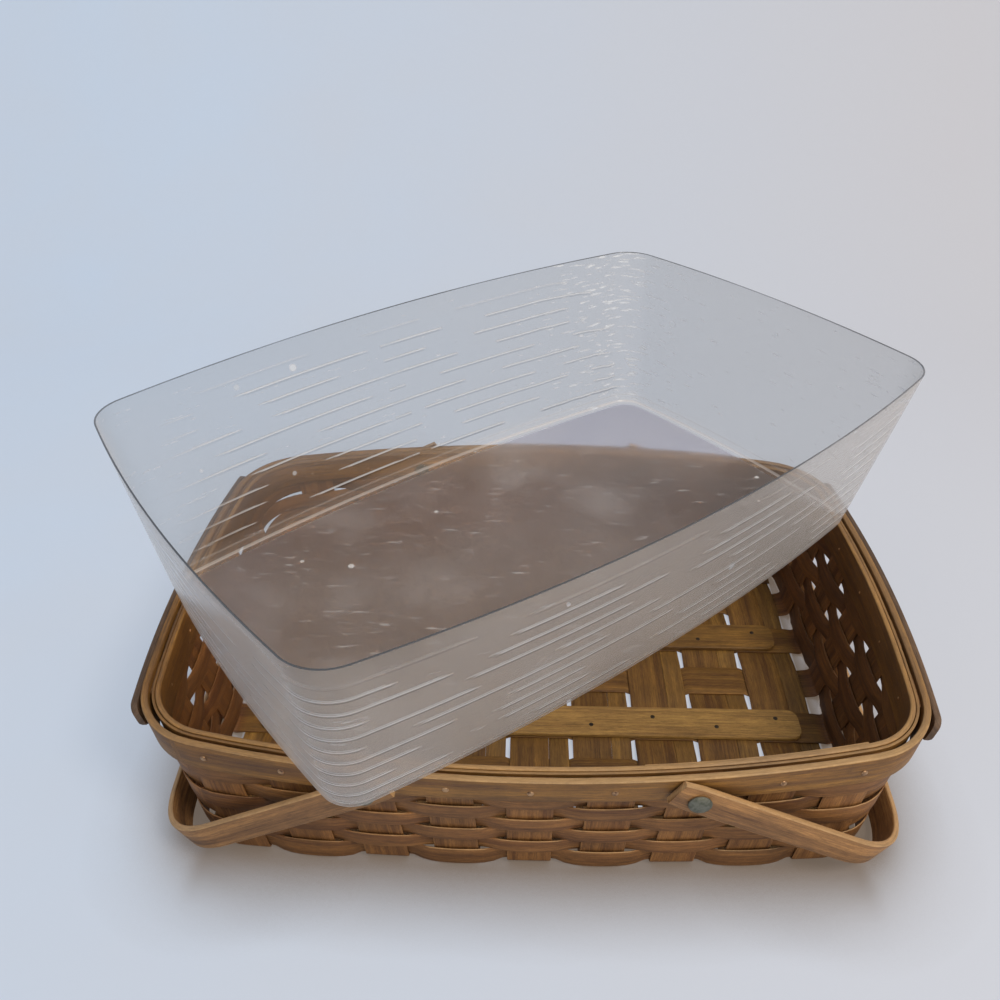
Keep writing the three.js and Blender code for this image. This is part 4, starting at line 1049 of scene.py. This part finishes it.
# %% [markdown]
# ## Nails and tacks
# A small domed nail goes through the rim at every upright, apart from the four with a handle rivet, and
# its tip is clinched inside. The floor slats have a tack over every wide splint, a little to one side and
# then the other. A lathe profile turned round an axis gives each head, and all heads of a kind share one
# mesh. A little noise puts each where a hand would.

# %% Nails and tacks
def turned_mesh(name, parts, sides):
    """parts: (profile, centre, axis) each. A profile of (radius, height) runs from axis to axis."""
    points, faces = [], []
    for profile, centre, axis in parts:
        turn = Vector((0, 0, 1)).rotation_difference(axis)
        faces += tube_faces(len(profile), sides, base=len(points))
        for radius, height in profile:
            for i in range(sides):
                angle = 2 * math.pi * i / sides
                local = Vector((radius * math.cos(angle), radius * math.sin(angle), height))
                points.append(centre + turn @ local)
    return solid_mesh(name, points, faces)


def dome(radius, height, sink=0.4):
    return [(radius * 0.96, -sink), (radius, 0.15 * height), (radius * 0.93, 0.5 * height),
            (radius * 0.75, 0.8 * height), (radius * 0.4, 0.97 * height), (radius * 0.05, height)]


HEAD_SIDES, RIVET_UPRIGHT = 14, 2
NAIL_HEAD, NAIL_TIP, TACK_HEAD = dome(1.9, 0.7), dome(0.8, 0.35), dome(1.5, 0.5)
NAIL_Z = RIM_TOP - 9.5
nails = []
for side, on_end in (("front", False), ("back", False), ("right", True), ("left", True)):
    last, face_offset = (LENGTH_LAST, end_outside) if on_end else (CROSS_LAST, band_outside)
    for index in range(-last, last + 1):
        if not on_end and abs(index) == RIVET_UPRIGHT:
            continue
        shift = 0.9 * noise.noise(Vector((index * 1.7, last, on_end * 3.0)))
        height = NAIL_Z + 1.2 * noise.noise(Vector((index * 2.3, last * 1.1, len(side))))
        face = wall_point((side, index, shift), height, face_offset)
        outward = (face - wall_point((side, index, shift), height, face_offset - 1)).normalized()
        tip = wall_point((side, index, shift * 2), height - 0.8, inner_inside)
        nails += [(NAIL_HEAD, face, outward), (NAIL_TIP, tip, -outward)]
new_object("rim_nails", turned_mesh("rim_nails", nails, HEAD_SIDES), nail_metal, "basket")

tacks = []
for y in (-LENGTH_PITCH[0], LENGTH_PITCH[0]):
    for index in range(-CROSS_LAST, CROSS_LAST + 1):
        aside = (4 if index % 2 == 0 else -4) + 1.2 * noise.noise(Vector((index * 1.3, y, 0.0)))
        along = index * CROSS_PITCH[0] + 1.5 * noise.noise(Vector((y, index * 2.1, 1.0)))
        tacks.append((TACK_HEAD, Vector((along, y + aside, slat_top)), Vector((0, 0, 1))))
new_object("floor_tacks", turned_mesh("floor_tacks", tacks, HEAD_SIDES), tack_metal, "basket")
print("nails:", len(nails) // 2, "tacks:", len(tacks))

# %% [markdown]
# ## Handles
# Each handle is a strap bent with steam round one end of the basket. It is drawn level, with its pivots on
# the Y axis, because its line is then a flat one of two arms, two bends and a bowed crosspiece. The strap is
# lofted along that line and then hung from its pivots. Its place is worked out from what it has to clear:
# the rim at the arms, and the end slat at the crosspiece.

# %% Handle line
HANDLE_WIDTH, HANDLE_THICKNESS, EAR = 19.0, 3.6, 14.5
HANDLE_BEND, CROSS_BOW = 38, 8
ARM_CLEARANCE, CROSS_CLEARANCE = 0.9, 1.2
PIVOT_Z = RIM_TOP - 13.0
PIVOT_X = RIVET_UPRIGHT * wall_plan(PIVOT_Z).pitch_x
TOE_IN = math.tan(math.radians(4.8))
HANG = math.radians(30)
arm_inside = abs(wall_point(("back", RIVET_UPRIGHT, 0.0), RIM_TOP, band_outside).y) + ARM_CLEARANCE
arm_middle = arm_inside + HANDLE_THICKNESS / 2
slat_face = wall_point(("right", 0, 0.0), end_top, end_outside).x
slat_edge = math.hypot(slat_face - PIVOT_X, end_top - PIVOT_Z)
cross_reach = slat_edge + CROSS_CLEARANCE + HANDLE_THICKNESS / 2


def half_strap():
    """Middle line of half a strap, from the ear's end to the middle of the crosspiece."""
    corner_x = cross_reach - CROSS_BOW
    corner = Vector((corner_x, arm_middle - corner_x * TOE_IN))
    ear = Vector((-EAR, arm_middle + EAR * TOE_IN))
    arm_end = corner + (ear - corner).normalized() * HANDLE_BEND
    cross_y = corner.y - HANDLE_BEND

    def on_crosspiece(y):
        return Vector((cross_reach - CROSS_BOW * (y / corner.y) ** 2, y))
    points = [ear.lerp(arm_end, i / 10) for i in range(10)]
    finish = on_crosspiece(cross_y)
    for i in range(17):
        t = i / 16
        points.append(arm_end * (1 - t) ** 2 + corner * 2 * t * (1 - t) + finish * t * t)
    return points + [on_crosspiece(cross_y * (1 - i / 12)) for i in range(1, 13)]


half_line = half_strap()
line = half_line + [Vector((p.x, -p.y)) for p in half_line[-2::-1]]
print("handle line:", len(line), "points, crosspiece", round(cross_reach, 1), "mm from the pivots")

# %% Handles
strap_section = rounded(HANDLE_THICKNESS, HANDLE_WIDTH, 0.9, 3)
for name, sign in (("handle_right", 1), ("handle_left", -1)):
    seed, rows = next_seed(), []
    swing = Matrix.Rotation(sign * HANG, 3, "Y")
    pivot = Vector((sign * PIVOT_X, 0, PIVOT_Z))
    for i, (point, along) in enumerate(zip(line, distances(line))):
        direction = (line[min(i + 1, len(line) - 1)] - line[max(i - 1, 0)]).normalized()
        outward = Vector((-direction.y, direction.x))
        shrink = 1.2 if i in (0, len(line) - 1) else 0.0
        section = []
        for x, y in strap_section:
            flat = point + outward * (x - HANDLE_THICKNESS / 2)
            side = (y - HANDLE_WIDTH / 2) * (1 - shrink / HANDLE_WIDTH * 2)
            place = swing @ Vector((flat.x * sign, flat.y, side)) + pivot
            section.append((place, along, x + y, 1.3 if min(y, HANDLE_WIDTH - y) < 0.5 else 0.9))
        rows.append(section)
    mesh = loft_mesh(name + "_strap", rows, seed)
    new_object(name + "_strap", mesh, handle_wood, name.split("_")[1] + "_handle", [name])
print("handles: 2, pivots at x =", round(PIVOT_X, 1), "z =", round(PIVOT_Z, 2))

# %% [markdown]
# ## Rivets
# A domed steel rivet goes through handle, band, upright and inner band, and is clenched over a burr on the
# inside. It is turned like the nails, with more sides, because its head is what the light picks out. Its
# tail ends where the solid one does.

# %% Rivets
HEAD_GAP, HEAD_RADIUS, SHANK_RADIUS, RIVET_SIDES = 0.3, 6.3, 2.3, 32
head_seat = arm_inside + HANDLE_THICKNESS + HEAD_RADIUS * TOE_IN + HEAD_GAP
head = [(6.0, head_seat), (HEAD_RADIUS, head_seat + 0.3), (6.15, head_seat + 0.9), (5.2, head_seat + 1.7),
        (3.2, head_seat + 2.2), (0.3, head_seat + 2.4)]
for end, sign_x in (("right", 1), ("left", -1)):
    for side, sign_y in (("front", -1), ("back", 1)):
        node = f"handle_rivet_{side}_{end}"
        low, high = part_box(node)
        tail = (low.y if sign_y > 0 else -high.y) / MM
        shank = [(SHANK_RADIUS, tail), (SHANK_RADIUS, tail + 0.3), (SHANK_RADIUS, head_seat)]
        centre, axis = Vector((sign_x * PIVOT_X, 0, PIVOT_Z)), Vector((0, sign_y, 0))
        mesh = turned_mesh(node + "_turned", [(shank + head, centre, axis)], RIVET_SIDES)
        new_object(node + "_turned", mesh, rivet_metal, "basket", [node])
        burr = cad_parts[f"rivet_burr_{side}_{end}"].data
        burr.materials.clear()
        burr.materials.append(rivet_metal)
print("rivets: 4")

# %% [markdown]
# ## Liner
# The tray is one sheet of even thickness, open at the top, with a small round at its foot. A shell made by
# a modifier would leave the edge square and its attributes to chance, so the wall is lofted through rings
# from its base to its rim and back down the inside. Its sides bow outwards more at the top than at the base.

# %% Liner outline
LINER_HEIGHT, LINER_WALL, LINER_FOOT = 124.0, 1.0, 5.0
LINER_BASE_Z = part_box("liner")[0].z / MM
LINER_TURN, LINER_CENTRE = math.radians(39), Vector((-5, 22))
LINER_AXIS = Vector((math.cos(LINER_TURN), math.sin(LINER_TURN)))
LINER_HALF_LENGTH, LINER_HALF_WIDTH = (207.5, 226), (124, 155.5)
LINER_LONG_RADIUS, LINER_END_RADIUS, LINER_CORNER = (1540, 1080), (1080, 920), (20, 26)
FOOT_ROUND = ((0.0, 1.0), (0.35, 0.62), (1.5, 0.3), (3.1, 0.08))
LEFT_CORNER, BACK_CORNER, RIGHT_CORNER = (-262, 0), (65, 270), (250, 35)
END_WALL = 190


def liner_ring(z, inset):
    """Points round the tray at a height, drawn in from its outside by the inset."""
    level = z / LINER_HEIGHT
    plan = Plan(lerp(*LINER_HALF_LENGTH, level) - inset, lerp(*LINER_HALF_WIDTH, level) - inset,
                blend_radii(LINER_LONG_RADIUS, level) - inset, blend_radii(LINER_END_RADIUS, level) - inset,
                lerp(*LINER_CORNER, level) - inset)
    quarter = [plan.on_long(plan.long_reach * i / 14)[0] for i in range(15)]
    quarter += [plan.on_corner(i / 10)[0] for i in range(1, 10)]
    quarter += [plan.on_end(plan.end_reach * (1 - i / 9))[0] for i in range(10)]
    half = quarter + [Vector((p.x, -p.y)) for p in quarter[-2::-1]]
    loop = half + [Vector((-p.x, p.y)) for p in half[-2:0:-1]]
    return [(LINER_CENTRE + LINER_AXIS * p.x + LINER_AXIS.orthogonal() * p.y).to_3d()
            + Vector((0, 0, LINER_BASE_Z + z)) for p in loop]


def liner_wear(x, y):
    """Strength of the ribs, the haze and the scratches at a place on the wall, in the basket's plan. At the
    back corner the scratches are partly painted glints.
    """
    def near(corner, radius):
        return max(0.0, 1 - math.hypot(x - corner[0], y - corner[1]) / radius)

    toward_end = (Vector((x, y)) - LINER_CENTRE).dot(LINER_AXIS)
    left_corner = min(1.0, 1.6 * near(LEFT_CORNER, 90))
    ribs = 0.0 if toward_end > END_WALL else (0.8 if toward_end < -END_WALL else 1.0) * (1 - left_corner)
    haze = clamp(max(0.0, (60 - y) / 230) ** 1.5, 0.3)
    left_end = 0.9 * (1 - left_corner) * clamp((y + 165) / 50) if toward_end < -END_WALL else 0.0
    return ribs, haze, max(1.3 * near(BACK_CORNER, 110), near(RIGHT_CORNER, 90), left_end)


print("liner stands on z =", round(LINER_BASE_Z, 2))

# %% Liner
LIP = 0.4
rise = [lerp(LINER_FOOT, LINER_HEIGHT - LIP, i / 12) for i in range(13)]
fall = [lerp(LINER_HEIGHT - LIP, LINER_FOOT + LINER_WALL, i / 12) for i in range(13)]
levels = [(z, LINER_FOOT * share) for z, share in FOOT_ROUND] + [(z, 0.0) for z in rise]
levels += [(LINER_HEIGHT, 0.2), (LINER_HEIGHT, LINER_WALL - 0.2)] + [(z, LINER_WALL) for z in fall]
levels += [(z + LINER_WALL, LINER_FOOT * share + LINER_WALL) for z, share in reversed(FOOT_ROUND)]
points, panel, wear = [], [], []
for z, inset in levels:
    ring = liner_ring(z, inset)
    points += ring
    for point, around in zip(ring, distances(ring)):
        ribs, haze, scuffs_and_glints = liner_wear(point.x, point.y)
        panel.append((around, z, ribs))
        wear.append((haze if z > LINER_FOOT + 1 else 1.0, scuffs_and_glints, 0.0))
mesh = solid_mesh("liner_tray", points, tube_faces(len(levels), len(ring)))
write_attribute(mesh, "panel", "FLOAT_VECTOR", panel)
write_attribute(mesh, "wear", "FLOAT_VECTOR", wear)
new_object("liner_tray", mesh, liner_plastic, "liner", ["liner"])
mesh.materials.append(liner_edge)
mesh.materials.append(liner_base)
for polygon in mesh.polygons:
    if polygon.center.z > (LINER_BASE_Z + LINER_HEIGHT - 0.45) * MM:
        polygon.material_index = 1
    elif polygon.center.z < (LINER_BASE_Z + 1.3) * MM and abs(polygon.normal.z) > 0.9:
        polygon.material_index = 2
print("liner rings:", len(levels), "points round:", len(ring))

# %% [markdown]
# ## Paper
# The basket stands on a pale sweep of matt paper, cooler on the left and warmer on the right. Real paper in
# a bright room is lit from all round, so it hardly takes a shadow, apart from a warm dark shadow close to the
# basket's foot. Lamps alone would need to be very many for that. So the paper gives off part of its light
# itself, where the camera, a mirror or the liner looks at it, and that shadow is painted, worked out from the
# distance to the foot and from how closed in the paper is. Under the basket the paper stays bright, as seen
# through the weave.

# %% Paper material
CONTACT_SHADOW_BROWN = 0x6C5432
CONTACT_FADE = 0.06
paper_material, tree = new_material("Pale backdrop paper, matt")
place = add_node(tree, "TexCoord")["Object"]
position = add_node(tree, "SeparateXYZ", (place,))
share = add_node(tree, "MapRange", (position[0], -0.5, 0.6))[0]
mottle = add_node(tree, "TexNoise", {"Vector": place, "Scale": per_metre(166.7), "Detail": 3.0})[0]
sides = {SHARE: share, FIRST: linear(0xCADAEE), SECOND: linear(0xD2D1D6)}
colour = add_node(tree, "Mix", sides, **BLEND)[MIXED]
greyer = add_node(tree, "Mix", {SHARE: 0.5, FIRST: colour, SECOND: linear(0xD2D4DA)}, **BLEND)[MIXED]
colour = add_node(tree, "Mix", {SHARE: mottle, FIRST: colour, SECOND: greyer}, **BLEND)[MIXED]

# For X and for Y, in metres: from where the paper counts as beside the basket, where its shadow is darkest,
# and how fast that fades.
beside, away = 0.0, 0.0
for axis, inner, foot, fade in ((0, 0.19, 0.19, 2.2), (1, 0.114, 0.138, 1.0)):
    distance = add_node(tree, "Math", (position[axis],), operation="ABSOLUTE")[0]
    outside = add_node(tree, "MapRange", (distance, inner, inner + 0.004))[0]
    beside = add_node(tree, "Math", (beside, outside), operation="MAXIMUM")[0]
    past = add_node(tree, "Math", (distance, foot), operation="SUBTRACT")[0]
    past = add_node(tree, "Math", (past, 0.0), operation="MAXIMUM")[0]
    past = add_node(tree, "Math", (past, fade), operation="MULTIPLY")[0]
    away = add_node(tree, "Math", (past, past, away), operation="MULTIPLY_ADD")[0]
away = add_node(tree, "Math", (away, 0.5), operation="POWER")[0]
contact = add_node(tree, "MapRange", (away, 0.0, CONTACT_FADE, 0.84, 0.0),
                   interpolation_type="SMOOTHSTEP")[0]
openness = add_node(tree, "AmbientOcclusion", {"Distance": CONTACT_FADE}, samples=16)["AO"]
closed_in = add_node(tree, "MapRange", (openness, 1.0, 0.45, 0.0, 0.86))[0]
closed_in = add_node(tree, "Math", (closed_in, contact), operation="MAXIMUM")[0]
closed_in = add_node(tree, "Math", (closed_in, beside), operation="MULTIPLY")[0]
# Painted shadow: the paper turns warm brown close to the basket's foot and where it is closed in.
shaded = {SHARE: closed_in, FIRST: colour, SECOND: linear(CONTACT_SHADOW_BROWN)}
colour = add_node(tree, "Mix", shaded, **BLEND)[MIXED]

paper = add_node(tree, "BsdfPrincipled", {"Base Color": colour, "Roughness": 0.85})[0]
even = add_node(tree, "Emission", (colour,))[0]
path = add_node(tree, "LightPath")
seen = path["Is Camera Ray"]
for kind in ("Is Glossy Ray", "Is Transmission Ray"):
    seen = add_node(tree, "Math", (seen, path[kind]), operation="MAXIMUM")[0]
seen = add_node(tree, "Math", (seen, 0.6), operation="MULTIPLY")[0]
surface = add_node(tree, "MixShader", (seen, paper, even))[0]
add_node(tree, "OutputMaterial", (surface,))
print("paper ready")

# %% [markdown]
# ## Backdrop, light and camera
# The paper lies flat and curves up behind, so no horizon shows. The light is soft and from above: one large
# lamp to the right, a weak one in front, and a cool one at the left, over an even room. The camera was
# fitted to the rim, the nails, the floor and the liner's corners.

# %% Backdrop
SWEEP_START, SWEEP_RADIUS, SWEEP_TOP = 0.5, 0.6, 4.0
profile = [(-3.0, 0.0), (SWEEP_START, 0.0)]
for degrees in range(6, 91, 6):
    angle = math.radians(degrees)
    profile.append((SWEEP_START + SWEEP_RADIUS * math.sin(angle),
                    SWEEP_RADIUS - SWEEP_RADIUS * math.cos(angle)))
profile.append((SWEEP_START + SWEEP_RADIUS, SWEEP_TOP))
mesh = bpy.data.meshes.new("backdrop")
mesh.from_pydata([(x, y, z) for y, z in profile for x in (-4.0, 4.0)], [],
                 [(2 * i, 2 * i + 1, 2 * i + 3, 2 * i + 2) for i in range(len(profile) - 1)])
mesh.materials.append(paper_material)
mesh.shade_smooth()
backdrop = bpy.data.objects.new("backdrop", mesh)
bpy.context.scene.collection.objects.link(backdrop)
print("backdrop:", len(mesh.polygons), "faces")

# %% Light
world = bpy.data.worlds.new("Soft room light")
bpy.context.scene.world = world
world.use_nodes = True
world.node_tree.nodes["Background"].inputs["Color"].default_value = linear(0xF6F5F4)
world.node_tree.nodes["Background"].inputs["Strength"].default_value = 0.5


def area_light(name, location, target, size, power, colour):
    data = bpy.data.lights.new(name, "AREA")
    data.shape, data.size, data.energy = "DISK", size, power
    data.color = linear(colour)[:3]
    light = bpy.data.objects.new(name, data)
    light.location = location
    light.rotation_euler = (Vector(target) - Vector(location)).to_track_quat("-Z", "Y").to_euler()
    bpy.context.scene.collection.objects.link(light)


area_light("Lamp", (0.75, -0.75, 1.35), (0.05, 0, 0.05), 0.5, 14, 0xFFF4E6)
area_light("Front fill", (0.6, -1.7, 0.9), (0, 0, 0.05), 1.2, 5, 0xFFF4E8)
area_light("Window", (-1.6, -0.3, 1.3), (0, 0, 0.05), 1.2, 3, 0xDCE8FF)
print("lamps: 3")

# %% Camera
PHOTO_PIXELS, FOCAL_PIXELS, SENSOR = 1000, 912.6, 36
PITCH, YAW, ROLL = math.radians(34.96), math.radians(-2.03), math.radians(-0.46)
CAMERA_PLACE = Vector((-3.9, -463.6, 481.5))
forward = Vector((math.sin(YAW) * math.cos(PITCH), math.cos(YAW) * math.cos(PITCH), -math.sin(PITCH)))
right = Vector((math.cos(YAW), -math.sin(YAW), 0))
down = forward.cross(right)
tilted_right = right * math.cos(ROLL) - down * math.sin(ROLL)
tilted_down = right * math.sin(ROLL) + down * math.cos(ROLL)
axes = Matrix((tilted_right, -tilted_down, -forward)).transposed().to_4x4()
data = bpy.data.cameras.new("Camera")
data.sensor_width = SENSOR
data.lens = FOCAL_PIXELS / PHOTO_PIXELS * SENSOR
camera = bpy.data.objects.new("Camera", data)
camera.matrix_world = Matrix.Translation(CAMERA_PLACE * MM) @ axes
bpy.context.scene.collection.objects.link(camera)
bpy.context.scene.camera = camera
bpy.context.scene.view_settings.view_transform = "Standard"
print("lens:", round(data.lens, 1), "mm")
